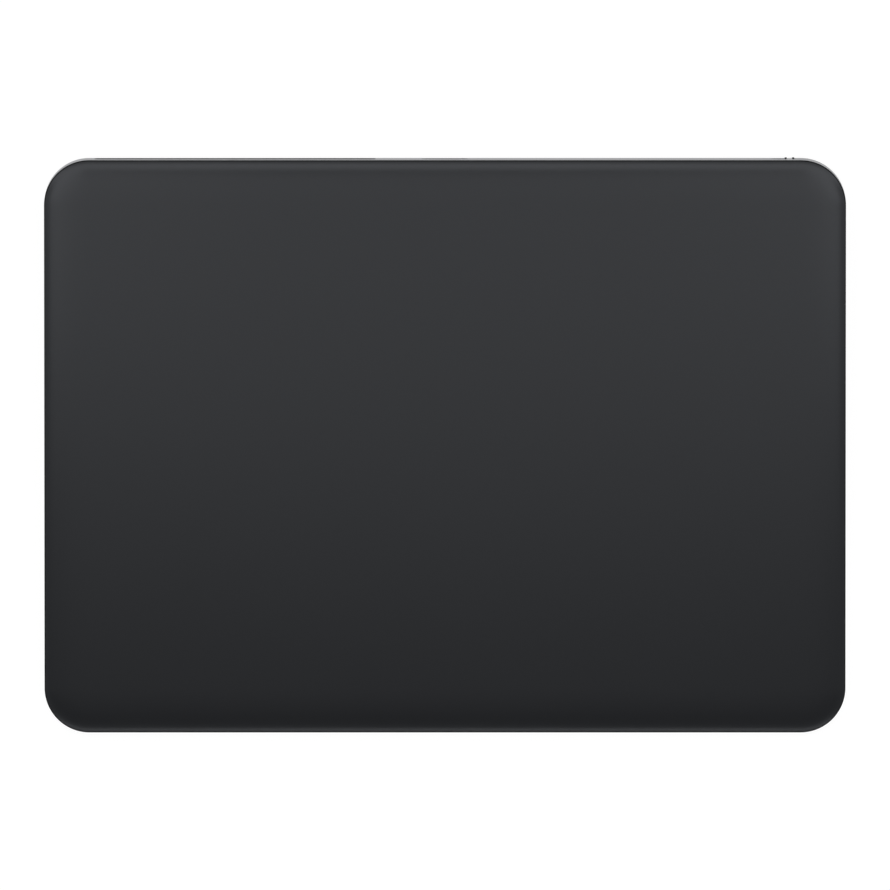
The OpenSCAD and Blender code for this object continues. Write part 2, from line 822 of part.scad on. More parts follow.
module switch_plate() {
    color("#3b3d40") in_rear_wall(slot_x) translate([0, 0, wall]) difference() {
        rounded_plate(slot_l + 2 * switch_plate_margin, slot_h + 2 * switch_plate_margin, 0.6, switch_plate_t);
        translate([0, 0, -cut]) switch_slit(switch_plate_t + 2 * cut);
    }
}

module on_marker() {
    color("#3aa655") in_rear_wall(slot_x) translate([0, 0, wall - marker_t]) difference() {
        intersection() {
            pill(slot_l - 2 * fit, slot_h - 2 * fit, marker_t);
            translate([0, -slot_h / 2, 0]) cube([slot_l, slot_h, marker_t]);
        }
        translate([0, 0, -cut]) switch_slit(marker_t + 2 * cut);
    }
}

module power_knob() {
    color("#c2c4c8") in_rear_wall(slot_x) translate([knob_x, 0, 0]) {
        translate([0, 0, -knob_out]) pill(knob_l, knob_h, knob_out + knob_inner);
        for (side = [-1, 1]) {
            translate([side * rib_offset - rib_w / 2, -rib_h / 2, -knob_out - rib_out])
                cube([rib_w, rib_h, rib_out + knob_out]);
        }
        translate([-stem_w / 2, -stem_h / 2, 0]) cube([stem_w, stem_h, stem_end]);
    }
}

module slider_carrier() {
    play = fit / 2;
    color("#34363a") in_rear_wall(slot_x) translate([knob_x, 0, 0]) difference() {
        translate([-carrier_w / 2, -carrier_h / 2, carrier_top]) cube([carrier_w, carrier_h, carrier_l]);
        translate([-stem_w / 2 - play, -stem_h / 2 - play, 0])
            cube([stem_w + 2 * play, stem_h + 2 * play, stem_end + play]);
        translate([-toggle_w / 2 - play, -toggle_h / 2 - play, toggle_tip - play])
            cube([toggle_w + 2 * play, toggle_h + 2 * play, carrier_l]);
    }
}

module switch_toggle() {
    color("#17181a") in_rear_wall(slot_x)
        translate([knob_x - toggle_w / 2, -toggle_h / 2, toggle_tip])
            cube([toggle_w, toggle_h, can_depth + toggle_root - toggle_tip]);
}

module switch_can() {
    window_l = switch_travel + toggle_w + 2 * slide_gap;
    window_h = toggle_h + 2 * fit;
    color("#b8bbbf") in_rear_wall(slot_x) difference() {
        translate([-can_w / 2, -can_h / 2, can_depth]) cube([can_w, can_h, can_l]);
        translate([-window_l / 2, -window_h / 2, can_depth - cut])
            cube([window_l, window_h, cut + toggle_root + slide_gap]);
    }
}

// Logic board

module logic_board() {
    tab_y = board_rear - board_tab_d;
    notch_x = waist_x - tail_w / 2 - notch_play;
    notch_front = flexure_v - waist_w / 2 - notch_d / 2;
    notch_rear = notch_front + notch_d;
    outline = [
        [board_left, board_front], [board_right, board_front], [board_right, notch_front],
        [notch_x, notch_front], [notch_x, notch_rear], [board_right, notch_rear], [board_right, tab_y],
        [board_tab_right, tab_y], [board_tab_right, board_rear], [board_left, board_rear]
    ];
    color("#1f5a3c") translate([0, 0, board_z]) difference() {
        linear_extrude(board_t) polygon(outline);
        for (at = board_screws_at) {
            translate([at[0], at[1], -cut]) cylinder(d = screw_dia + 2 * fit, h = board_t + 2 * cut);
        }
    }
}

module board_screws() {
    color("#8f9398") for (at = board_screws_at) {
        translate([at[0], at[1], board_top]) screw(board_t + screw_bite(board_z));
    }
}

// A block that stands on the logic board
module on_board(at, size) {
    translate([at[0] - size[0] / 2, at[1] - size[1] / 2, board_top]) cube(size);
}

board_chip_list = [
    [[board_left + 27, board_front + 26], [6, 6, 0.8]],
    [[board_left + 34, board_front + 24], [3, 4, 0.7]],
    [[board_left + 25.5, board_front + 35], [4, 3, 0.7]],
    [[board_left + 35, board_front + 28.5], [3, 3, 0.6]]
];

module board_chips() {
    color("#25272b") for (chip = board_chip_list) on_board(chip[0], chip[1]);
}

module board_connectors() {
    color("#d9d6cb") {
        on_board(port_plug_at, side_plug_size);
        on_board(cell_plug_at, cell_plug_size);
        on_board(haptic_plug_at, haptic_plug_size);
        on_board([flex_x, flex_plug_y], flex_plug_size);
        on_board(gauge_plug_at, gauge_plug_size);
        translate([antenna_plug_x, lead_y, board_top]) cylinder(d = antenna_plug_dia, h = antenna_plug_dia / 2);
    }
}

module shield(at, size) {
    inner = size - [2 * can_sheet, 2 * can_sheet, can_sheet];
    translate([at[0], at[1], board_top]) difference() {
        translate([-size[0] / 2, -size[1] / 2, 0]) cube(size);
        translate([-inner[0] / 2, -inner[1] / 2, -cut]) cube([inner[0], inner[1], inner[2] + cut]);
    }
}

module processor_chip() {
    color("#202226") on_board(processor_shield_at, [9, 9, 0.9]);
}

module processor_shield() {
    color("#b8bbbf") shield(processor_shield_at, processor_shield_size);
}

module radio_chip() {
    color("#202226") on_board(radio_shield_at, [6, 6, 0.8]);
}

module radio_shield() {
    color("#b8bbbf") shield(radio_shield_at, radio_shield_size);
}

module sensor_flex() {
    low = board_top + plug_lift;
    under = [for (i = [1:2]) plane_z(flex_start + flex_run[i]) - stiffener_top / cos(slope) - fit - cable_t];
    ys = [flex_start, flex_start + flex_run[0], flex_start + flex_run[1], flex_start + flex_run[2]];
    zs = [low, low, under[0], under[1]];
    lower_line = [for (i = [0:3]) [ys[i], zs[i]]];
    upper_line = [for (i = [3:-1:0]) [ys[i], zs[i] + cable_t]];
    color("#b5722c") translate([flex_x - flex_w / 2, 0, 0]) rotate([90, 0, 90])
        linear_extrude(flex_w) polygon(concat(lower_line, upper_line));
}

// Battery

module battery_cell() {
    color("#3c3f45") translate([battery_left + battery_w / 2, battery_y, battery_z])
        rounded_plate(battery_w, battery_d, 2, battery_t);
}

module battery_tape() {
    color("#e6e3d8") box(
        [battery_left + tape_margin, battery_front + tape_margin, floor_z],
        [battery_right - tape_margin, battery_rear - tape_margin, battery_z]
    );
}

module battery_board() {
    color("#1d4a36") box(
        [battery_right, battery_y - cell_board_d / 2, cell_board_z],
        [battery_right + cell_board_w, battery_y + cell_board_d / 2, cell_board_z + cell_board_t]
    );
}

module battery_lead() {
    color("#b5722c") stepped_cable(
        battery_right + 1, cell_plug_at[0] - cell_plug_size[0] / 2, board_left - cable_t,
        cell_board_z + cell_board_t, board_top + plug_lift, battery_y, cell_lead_w
    );
}

// Haptic unit

module haptic_housing() {
    inner = [haptic_w - 2 * haptic_wall, haptic_d - 2 * haptic_wall];
    color("#9fa3a8") difference() {
        union() {
            translate([-haptic_w / 2, haptic_rear - haptic_d, floor_z])
                cube([haptic_w, haptic_d, cover_z - floor_z]);
            for (at = haptic_ears_at) {
                toward = at[1] > haptic_y ? -1 : 1;
                translate([at[0] - ear_w / 2, at[1] - ear_l / 2 + toward * haptic_wall / 2, ear_z])
                    cube([ear_w, ear_l, ear_t]);
            }
        }
        translate([-inner[0] / 2, haptic_y - inner[1] / 2, floor_z + haptic_base_t])
            cube([inner[0], inner[1], cover_z]);
        for (at = haptic_ears_at) {
            translate([at[0], at[1], ear_z - cut]) cylinder(d = screw_dia + 2 * fit, h = ear_t + 2 * cut);
        }
    }
}

module haptic_cover() {
    color("#aeb2b7") translate([0, haptic_y, cover_z]) rounded_plate(haptic_w, haptic_d, 1, cover_t);
}

module haptic_coil() {
    coil_w = 22;
    coil_d = 11;
    coil_wind = 3.5;
    color("#b4622d") translate([0, haptic_y, floor_z + haptic_base_t]) difference() {
        rounded_plate(coil_w, coil_d, 4, coil_t);
        translate([0, 0, -cut])
            rounded_plate(coil_w - 2 * coil_wind, coil_d - 2 * coil_wind, 1, coil_t + 2 * cut);
    }
}

module haptic_screws() {
    color("#8f9398") for (at = haptic_ears_at) {
        translate([at[0], at[1], ear_z + ear_t]) screw(ear_t + screw_bite(ear_z));
    }
}

module haptic_lead() {
    plug_front = haptic_plug_at[1] - haptic_plug_size[1] / 2;
    half = haptic_plug_size[0] / 2 - fit;
    left = haptic_plug_at[0] - half;
    right = haptic_plug_at[0] + half;
    start_y = haptic_rear - 4;
    riser = board_front - 2 * fit - cable_t;
    high = board_top + plug_lift;
    color("#b5722c") {
        box([haptic_w / 2, start_y - 2 * half, floor_z], [right, start_y, floor_z + cable_t]);
        box([left, start_y - 2 * half, floor_z], [right, riser + cable_t, floor_z + cable_t]);
        box([left, riser, floor_z], [right, riser + cable_t, high + cable_t]);
        box([left, riser, high], [right, plug_front, high + cable_t]);
    }
}

// A folded leaf between the mass and the end wall of the housing
module haptic_spring(side) {
    near = mass_l / 2;
    far = haptic_w / 2 - haptic_wall;
    end_y = mass_d / 2;
    bend_y = end_y - spring_foot;
    outline = [
        [near, -end_y], [near + spring_t, -end_y], [near + spring_t, -bend_y - spring_t],
        [far, bend_y - spring_t], [far, end_y], [far - spring_t, end_y],
        [far - spring_t, bend_y + spring_t], [near, spring_t - bend_y]
    ];
    color("#c6c9cd") translate([0, haptic_y, mass_z + spring_margin]) rotate([0, 0, side > 0 ? 0 : 180])
        linear_extrude(mass_t - 2 * spring_margin) polygon(outline);
}

module haptic_mass() {
    pocket_l = magnet_l + 2 * fit;
    pocket_d = magnet_d + 2 * fit;
    color("#7d8186") translate([0, haptic_y, mass_z]) difference() {
        translate([-mass_l / 2, -mass_d / 2, 0]) cube([mass_l, mass_d, mass_t]);
        for (side = [-1, 1]) {
            translate([side * magnet_x - pocket_l / 2, -pocket_d / 2, -cut])
                cube([pocket_l, pocket_d, magnet_t + cut]);
        }
    }
}

module haptic_magnets() {
    color("#5f6368") for (side = [-1, 1]) {
        translate([side * magnet_x, haptic_y, mass_z])
            box([-magnet_l / 2, -magnet_d / 2, 0], [magnet_l / 2, magnet_d / 2, magnet_t]);
    }
}

touch_glass();
glass_adhesive();
touch_sensor_board();
touch_chips();
stiffener_plate();
flexure_pads();
lower_case();
dust_seal();
foot(-1, -1);  // front_left_foot
foot(1, -1);  // front_right_foot
foot(-1, 1);  // rear_left_foot
foot(1, 1);  // rear_right_foot
flexure(-1, -1);  // front_left_flexure
flexure(1, -1);  // front_right_flexure
flexure(-1, 1);  // rear_left_flexure
flexure(1, 1);  // rear_right_flexure
strain_gauges();
flexure_screws();
gauge_flex();
antenna_window();
antenna_board();
antenna_lead();
port_shell();
port_tongue();
port_contacts();
port_board();
port_bracket();
port_screws();
port_lead();
switch_plate();
on_marker();
switch_can();
power_knob();
slider_carrier();
switch_toggle();
logic_board();
board_screws();
board_chips();
board_connectors();
processor_chip();
processor_shield();
radio_chip();
radio_shield();
sensor_flex();
battery_cell();
battery_tape();
battery_board();
battery_lead();
haptic_housing();
haptic_cover();
haptic_coil();
haptic_screws();
haptic_lead();
haptic_spring(-1);  // left_haptic_spring
haptic_spring(1);  // right_haptic_spring
haptic_mass();
haptic_magnets();
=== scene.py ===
"""Looks of a wireless trackpad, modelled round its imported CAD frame. Lengths are in metres."""

import json
import math
from contextlib import contextmanager

import bmesh
import bpy
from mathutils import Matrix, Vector


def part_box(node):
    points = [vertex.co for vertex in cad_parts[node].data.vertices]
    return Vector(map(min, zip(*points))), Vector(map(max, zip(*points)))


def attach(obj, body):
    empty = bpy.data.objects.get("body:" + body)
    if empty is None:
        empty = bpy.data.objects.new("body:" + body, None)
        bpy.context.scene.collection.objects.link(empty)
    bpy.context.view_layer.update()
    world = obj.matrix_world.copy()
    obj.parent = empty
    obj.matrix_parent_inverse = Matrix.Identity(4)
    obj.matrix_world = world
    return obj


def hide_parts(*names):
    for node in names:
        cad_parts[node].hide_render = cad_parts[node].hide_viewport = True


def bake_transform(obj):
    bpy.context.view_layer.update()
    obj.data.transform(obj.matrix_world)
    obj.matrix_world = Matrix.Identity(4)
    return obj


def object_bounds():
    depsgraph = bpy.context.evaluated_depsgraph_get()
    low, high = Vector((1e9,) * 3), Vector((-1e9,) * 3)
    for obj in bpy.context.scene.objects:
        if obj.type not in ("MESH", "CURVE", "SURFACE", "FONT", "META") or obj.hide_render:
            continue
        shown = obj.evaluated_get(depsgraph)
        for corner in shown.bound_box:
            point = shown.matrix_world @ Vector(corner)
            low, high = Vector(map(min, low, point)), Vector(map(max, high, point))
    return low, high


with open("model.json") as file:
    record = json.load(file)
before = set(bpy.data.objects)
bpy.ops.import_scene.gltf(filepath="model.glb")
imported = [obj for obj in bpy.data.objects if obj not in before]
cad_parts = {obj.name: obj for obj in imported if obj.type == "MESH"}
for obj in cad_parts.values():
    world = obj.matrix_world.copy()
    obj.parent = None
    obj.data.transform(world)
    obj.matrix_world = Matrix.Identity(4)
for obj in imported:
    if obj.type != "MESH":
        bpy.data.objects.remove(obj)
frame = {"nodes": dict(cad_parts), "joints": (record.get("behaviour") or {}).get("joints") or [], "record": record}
cad_low, cad_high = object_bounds()

# Units and directions, and how closely a face or an edge has to follow a direction
MM = 0.001
HAIR = 0.001 * MM
X, Y, Z = 0, 1, 2
UP = Vector((0, 0, 1))
REARWARDS = Vector((0, 1, 0))
CLOSELY = 0.99
STRAIGHT = 0.999
EXACTLY = 0.9999

# Case and touch plane
case_low, case_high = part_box("lower_case")
PAD_W = case_high.x - case_low.x
PAD_D = case_high.y - case_low.y
REAR_Y = case_high.y
UNDERSIDE = case_low.z
press_axis = next(joint["axis"] for joint in frame["joints"] if joint["name"] == "touch_plate_press")
SLOPE = math.asin(press_axis[Y])
TOUCH_H = 8.0 * MM
CORNER_R = 9.0 * MM
CORNER_STEPS = 28
WALL = 1.5 * MM
FLOOR_TOP = UNDERSIDE + 0.9 * MM
BOTTOM_R = 1.3 * MM
BOTTOM_STEPS = 8
EDGE_SOFTENING = 0.12 * MM
slope_up = Vector((0, -math.sin(SLOPE), math.cos(SLOPE)))

# Glass
GLASS_D = PAD_D / math.cos(SLOPE)
GLASS_T = 0.9 * MM
RIM_W = 0.1 * MM
ROLL_TILT = math.radians(21.4)
ROLL_FADE = 1.53 * MM
CROWN_TILT = math.radians(1.55)
CROWN_W = 8.6 * MM
# Rim faces steeper than this get the ground, near-black finish that paints the rim's shade
GROUND_AND_SHADE_TILT = math.radians(21.6)
PRESS_GAP = 0.25 * MM
RIM_DEPTH = GLASS_T + PRESS_GAP

# Seal in the case rim
SEAL_W = 0.7 * MM
SEAL_T = 0.4 * MM
SEAL_R = 0.15 * MM
SEAL_PLAY = 0.05 * MM

# Screw bosses
BOSS_DIA = 4.4 * MM
BOSS_SIDES = 40
BOSS_ROOT = 0.45 * MM
BORE_DIA = 1.6 * MM
BORE_DEPTH = 1.2 * MM
EAR_LIFT = 1.0 * MM
FLEXURE_DEPTH = 2.9 * MM

# Feet
FEET = ("front_left_foot", "front_right_foot", "rear_left_foot", "rear_right_foot")
FOOT_SIDES = 64
FOOT_PLAY = 0.1 * MM

# Rear openings
WINDOW_LIP = 0.8 * MM
WINDOW_R = 1.2 * MM
WINDOW_STEPS = 8
WINDOW_PLAY = 0.05 * MM
PORT_PLAY = 0.1 * MM
PORT_SHEET = 0.35 * MM
PORT_BACK = 0.4 * MM
SLOT_MARGIN = 1.0 * MM
PILL_STEPS = 14
CUT_PAST = 0.5 * MM
MOUTH_SOFTENING = 0.1 * MM

# Beams that carry the touch plate, each with a gauge on its waist
beam_low, beam_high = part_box("front_right_flexure")
BEAM_V = GLASS_D / 2 - 13.5 * MM
BEAM_W = 7.0 * MM
BEAM_T = 0.4 * MM
BEAM_SECTIONS = 36
WAIST_X = (beam_low.x + beam_high.x) / 2
WAIST_W = 4.0 * MM
WAIST_L = 4.0 * MM
WAIST_FADE = 1.5 * MM
CLAMP_INSET = 3.0 * MM
GAUGE_L = 3.4 * MM
GAUGE_D = 3.0 * MM
GAUGE_T = 0.1 * MM
TAIL_W = 1.2 * MM
TAIL_LIFT = 0.2 * MM

# Flat cable of the sensor board
CABLE_T = 0.15 * MM
CABLE_DEPTH = 1.5 * MM
CABLE_PLAY = 0.1 * MM
CABLE_LEVEL = 2.5 * MM
CABLE_CLIMB = 3.5 * MM

# Leaf springs of the haptic unit
LEAF_T = 0.25 * MM
LEAF_FOOT = 3.0 * MM

# Edges of sheet steel and cable film
SHEET_SOFTENING = 0.03 * MM
FILM_SOFTENING = 0.04 * MM

# Studio
CEILING = 0.5
FLOOR_SIZE = 12


def only(piece):
    """Makes a piece the one selected and active object."""
    bpy.ops.object.select_all(action="DESELECT")
    piece.select_set(True)
    bpy.context.view_layer.objects.active = piece


@contextmanager
def shaping(piece):
    """Edit mode on one piece, with nothing selected at the start."""
    only(piece)
    bpy.ops.object.mode_set(mode="EDIT")
    bpy.ops.mesh.select_all(action="DESELECT")
    yield
    bpy.ops.object.mode_set(mode="OBJECT")


def pick(kind, test):
    """In edit mode, selects just the faces or the edges that pass a test."""
    bpy.ops.mesh.select_mode(type=kind)
    bpy.ops.mesh.select_all(action="DESELECT")
    mesh = bpy.context.edit_object.data
    shape = bmesh.from_edit_mesh(mesh)
    for item in shape.faces if kind == "FACE" else shape.edges:
        if test(item):
            item.select_set(True)
    bmesh.update_edit_mesh(mesh)


def facing(direction, share=CLOSELY):
    """A test for faces that look along a direction."""
    return lambda face: face.normal.dot(direction) > share


def running(axis):
    """A test for straight edges along an axis."""
    return lambda edge: abs((edge.verts[1].co - edge.verts[0].co).normalized()[axis]) > STRAIGHT


def lying_at(axis, *heights):
    """A test for edges that lie in one of some planes square to an axis."""

    def lies(edge):
        return any(all(abs(end.co[axis] - height) < HAIR for end in edge.verts) for height in heights)

    return lies


def both(first, second):
    """A test that passes where two tests pass."""
    return lambda item: first(item) and second(item)


def place(piece):
    """Puts a piece's place, turn and scale into its mesh."""
    only(piece)
    bpy.ops.object.transform_apply(location=True, rotation=True, scale=True)


def block(name, low, high):
    """A box between two corners, to be shaped further."""
    bpy.ops.object.select_all(action="DESELECT")
    bpy.ops.mesh.primitive_cube_add(size=1, location=(low + high) / 2)
    piece = bpy.context.active_object
    piece.name = name
    piece.data.name = name
    piece.scale = high - low
    place(piece)
    return piece


def rounded_block(name, low, high, radius, axis, steps):
    """A box with its four edges along one axis rounded."""
    piece = block(name, low, high)
    with shaping(piece):
        pick("EDGE", running(axis))
        bpy.ops.mesh.bevel(offset=radius, segments=steps, profile=0.5, affect="EDGES")
    return piece


def pill_block(name, low, high, axis, steps):
    """A box with fully round ends, seen along one axis."""
    across = [high[i] - low[i] for i in (X, Y, Z) if i != axis]
    almost_half = 0.49
    return rounded_block(name, low, high, almost_half * min(across), axis, steps)


def disc(name, centre, radius, low_z, high_z, sides):
    """An upright round bar, to be shaped further."""
    bpy.ops.object.select_all(action="DESELECT")
    bpy.ops.mesh.primitive_cylinder_add(
        vertices=sides,
        radius=radius,
        depth=high_z - low_z,
        location=(centre[X], centre[Y], (low_z + high_z) / 2),
    )
    piece = bpy.context.active_object
    piece.name = name
    piece.data.name = name
    place(piece)
    return piece


def soften(test, width, steps=2):
    """In edit mode, rounds the folded edges that pass a test."""
    fold = math.radians(10)
    pick("EDGE", lambda edge: edge.calc_face_angle(0.0) > fold and test(edge))
    bpy.ops.mesh.bevel(offset=width, segments=steps, affect="EDGES")


def push(offset):
    """In edit mode, extrudes the selected face by an offset."""
    bpy.ops.mesh.extrude_region_move(TRANSFORM_OT_translate={"value": offset})


def level_at(height):
    """In edit mode, brings the selected points to one height."""
    bpy.ops.transform.resize(value=(1, 1, 0), center_override=(0, 0, height))


def combine(piece, tool, operation):
    """Cuts a tool out of a piece, or adds it, and removes the tool."""
    joining = piece.modifiers.new("joining", "BOOLEAN")
    joining.operation = operation
    joining.solver = "EXACT"
    joining.object = tool
    only(piece)
    bpy.ops.object.modifier_apply(modifier=joining.name)
    bpy.data.objects.remove(tool)


def give_second_finish(piece):
    """In edit mode, gives the selected faces the second finish of their piece."""
    piece.active_material_index = 1
    bpy.ops.object.material_slot_assign()


def copied(piece, name):
    """A copy of a piece, with its own mesh."""
    twin = piece.copy()
    twin.data = piece.data.copy()
    twin.name = name
    twin.data.name = name
    bpy.context.scene.collection.objects.link(twin)
    return twin


def middle_of(node):
    """Middle of a CAD node's box."""
    low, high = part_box(node)
    return (low + high) / 2


def ease(share):
    """A soft step from 0 to 1."""
    share = min(1.0, max(0.0, share))
    return share * share * (3 - 2 * share)


def ease_rate(share):
    """How fast the soft step rises."""
    return 6 * share * (1 - share)


def lay_on_slope(piece):
    """Turns a piece that was made flat round the origin on to the touch plane."""
    piece.rotation_euler.x = SLOPE
    piece.location.z = TOUCH_H
    place(piece)


def dress(piece, body, node, bend=None):
    """Gives a piece its shading and, if it has none yet, the finish of the CAD node that it stands for, and hides
    that node.
    A piece that doesn't bend is attached to its body; one that bends only has its place baked into its mesh."""
    slot = node_slots[node]
    only(piece)
    bpy.ops.object.shade_smooth_by_angle(angle=math.radians(40))
    flat_faces = piece.modifiers.new("flat_faces", "WEIGHTED_NORMAL")
    flat_faces.keep_sharp = True
    bpy.ops.object.modifier_apply(modifier=flat_faces.name)
    if not piece.data.materials:
        piece.data.materials.append(finishes[slot])
    if bend:
        other, start, end = bend
        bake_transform(piece)
        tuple(start)
        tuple(end)
    else:
        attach(piece, body)
    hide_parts(node)


# Finishes

class Signal:
    """A shader socket that can be used in sums: each operator adds a Math node."""

    def __init__(self, finish, socket):
        self.finish = finish
        self.socket = socket

    def other(self, output):
        """Another output of the same node."""
        return Signal(self.finish, self.socket.node.outputs[output])

    def math(self, operation, first, second=0.0):
        """One Math node."""
        return self.finish.add("ShaderNodeMath", {"operation": operation}, {0: first, 1: second})

    def __add__(self, other):
        return self.math("ADD", self, other)

    def __sub__(self, other):
        return self.math("SUBTRACT", self, other)

    def __rsub__(self, other):
        return self.math("SUBTRACT", other, self)

    def __mul__(self, other):
        return self.math("MULTIPLY", self, other)

    def __mod__(self, other):
        return self.math("MODULO", self, other)

    def __gt__(self, other):
        return self.math("GREATER_THAN", self, other)

    def __lt__(self, other):
        return self.math("LESS_THAN", self, other)

    def __abs__(self):
        return self.math("ABSOLUTE", self)

    __radd__ = __add__
    __rmul__ = __mul__


class Nodes:
    """The nodes of a material or of the world."""

    def __init__(self, tree):
        self.nodes = tree.nodes
        self.links = tree.links

    def add(self, kind, settings=None, inputs=None, output=0):
        """Any node: its settings are set first, then the values or links of its sockets."""
        node = self.nodes.new(kind)
        for name, value in (settings or {}).items():
            if name == "stops":
                self.set_stops(node.color_ramp, value)
            else:
                setattr(node, name, value)
        for name, value in (inputs or {}).items():
            self.feed(node.inputs[name], value)
        return Signal(self, node.outputs[output])

    def set_stops(self, ramp, stops):
        """Places and colours along a colour ramp."""
        while len(ramp.elements) < len(stops):
            ramp.elements.new(0.5)
        for element, (position, colour) in zip(ramp.elements, stops):
            element.position = position
            element.color = colour

    def feed(self, socket, value):
        """Links a signal to a socket, or sets the socket's own value."""
        if isinstance(value, Signal):
            self.links.new(value.socket, socket)
        else:
            socket.default_value = value

    def mix(self, share, first, second):
        """A colour between two colours."""
        return self.add("ShaderNodeMix", {"data_type": "RGBA"}, {0: share, 6: first, 7: second}, 2)


class Finish(Nodes):
    """A material round one Principled shader, patterned on Object coordinates."""

    def __init__(self, name, **constants):
        self.material = bpy.data.materials.new(name)
        self.material.use_nodes = True
        super().__init__(self.material.node_tree)
        self.shader = self.nodes["Principled BSDF"]
        for socket, value in constants.items():
            self.shader.inputs[socket.replace("_", " ")].default_value = value
        self.spot = self.add("ShaderNodeTexCoord", output="Object")

    def paint(self, **signals):
        """Feeds the shader's own sockets."""
        for socket, value in signals.items():
            self.feed(self.shader.inputs[socket.replace("_", " ")], value)

    def stretched(self, x, y, z):
        """Object coordinates, scaled along each axis."""
        return self.add("ShaderNodeMapping", inputs={"Vector": self.spot, "Scale": (x, y, z)})

    def noise(self, scale, detail=2.0, spot=None):
        """Soft random values round 0.5."""
        sockets = {"Vector": spot or self.spot, "Scale": scale, "Detail": detail}
        return self.add("ShaderNodeTexNoise", inputs=sockets)

    def cells(self, scale, output="Distance"):
        """Random cells."""
        sockets = {"Vector": self.spot, "Scale": scale}
        return self.add("ShaderNodeTexVoronoi", inputs=sockets, output=output)

    def relief(self, height, distance, strength):
        """Feeds the shader's normal with a bump of that depth."""
        sockets = {"Height": height, "Distance": distance, "Strength": strength}
        self.paint(Normal=self.add("ShaderNodeBump", inputs=sockets))


def tone(red, green=None, blue=None):
    """A colour with full alpha: one number is a grey."""
    return (red, red if green is None else green, red if blue is None else blue, 1.0)


def shade(colour, factor):
    """A darker or lighter version of a colour."""
    return (colour[0] * factor, colour[1] * factor, colour[2] * factor, 1.0)


def satin_glass():
    """Black glass with an etched, silky face."""
    finish = Finish("satin_glass", IOR=1.5, Specular_Tint=tone(0.95, 0.98, 1.04))
    etch = finish.noise(5200.0, 3.0)
    cloud = finish.noise(28.0, 3.0)
    finish.paint(
        Base_Color=finish.mix(cloud, tone(0.0062, 0.0068, 0.0078), tone(0.0072, 0.0078, 0.0090)),
        Roughness=0.24 + 0.03 * etch + 0.01 * cloud,
    )
    finish.relief(etch, 0.002 * MM, 0.3)
    return finish.material


def ground_glass():
    """The matt edge of the glass: ground, and near black with no reflection at all, a painted shade that stands in
    for the dark line along the rim.
    """
    finish = Finish("ground_glass", IOR=1.5, Specular_IOR_Level=0.0)
    grit = finish.noise(9000.0, 3.0)
    finish.paint(
        Base_Color=finish.mix(grit, tone(0.002), tone(0.005)),
        Roughness=0.6 + 0.2 * grit,
    )
    finish.relief(grit, 0.004 * MM, 0.4)
    return finish.material


def blasted_aluminium(name="blasted_aluminium", bright=tone(0.46, 0.466, 0.48)):
    """Aluminium with the fine frosted grain of bead blasting, anodised."""
    finish = Finish(name, Metallic=1.0, Specular_Tint=tone(0.55))
    grain = finish.noise(7000.0, 4.0)
    patch = finish.noise(60.0, 2.0)
    finish.paint(
        Base_Color=finish.mix(0.6 * grain + 0.4 * patch, shade(bright, 0.86), shade(bright, 1.12)),
        Roughness=0.34 + 0.14 * grain + 0.05 * patch,
    )
    finish.relief(grain, 0.01 * MM, 0.4)
    return finish.material


def brushed_metal(name, colour, rough, lengthwise):
    """Sheet metal with fine lines along one axis."""
    finish = Finish(name, Metallic=1.0)
    scale = [1.0, 1.0, 1.0]
    scale[lengthwise] = 0.03
    lines = finish.noise(9000.0, 3.0, finish.stretched(*scale))
    stain = finish.noise(180.0, 3.0)
    finish.paint(
        Base_Color=finish.mix(0.5 * lines + 0.5 * stain, shade(colour, 0.86), shade(colour, 1.08)),
        Roughness=rough + 0.12 * lines + 0.08 * stain,
    )
    finish.relief(lines, 0.004 * MM, 0.4)
    return finish.material


def moulded_plastic(name, colour, rough, grain_scale=4500.0, gloss=0.5):
    """Plastic with the fine spark-eroded grain of its mould."""
    finish = Finish(name, IOR=1.48, Specular_IOR_Level=gloss)
    grain = finish.cells(grain_scale)
    flow = finish.noise(120.0, 3.0)
    finish.paint(
        Base_Color=finish.mix(0.5 * grain + 0.5 * flow, shade(colour, 0.88), shade(colour, 1.12)),
        Roughness=rough + 0.1 * grain + 0.06 * flow,
    )
    finish.relief(grain, 0.008 * MM, 0.4)
    return finish.material


def soft_rubber():
    """Dark silicone rubber with fine pores and a little dust."""
    finish = Finish("soft_rubber", IOR=1.45)
    pores = finish.cells(3200.0)
    dust = finish.noise(420.0, 4.0)
    finish.paint(
        Base_Color=finish.mix(dust, tone(0.020, 0.021, 0.023), tone(0.036, 0.036, 0.037)),
        Roughness=0.62 + 0.2 * pores,
    )
    finish.relief(pores, 0.015 * MM, 0.5)
    return finish.material


def open_foam():
    """Black foam with open cells."""
    finish = Finish("open_foam")
    pits = finish.cells(5200.0)
    finish.paint(
        Base_Color=finish.mix(pits, tone(0.006), tone(0.022)),
        Roughness=0.85 + 0.1 * pits,
    )
    finish.relief(pits, 0.04 * MM, 0.8)
    return finish.material


def gold_plate():
    """Gold plating, a little scuffed by plugs."""
    finish = Finish("gold_plate", Metallic=1.0)
    scuff = finish.noise(7000.0, 3.0, finish.stretched(1.0, 0.05, 1.0))
    finish.paint(
        Base_Color=finish.mix(scuff, tone(0.72, 0.50, 0.18), tone(0.90, 0.70, 0.33)),
        Roughness=0.2 + 0.2 * scuff,
    )
    finish.relief(scuff, 0.002 * MM, 0.3)
    return finish.material


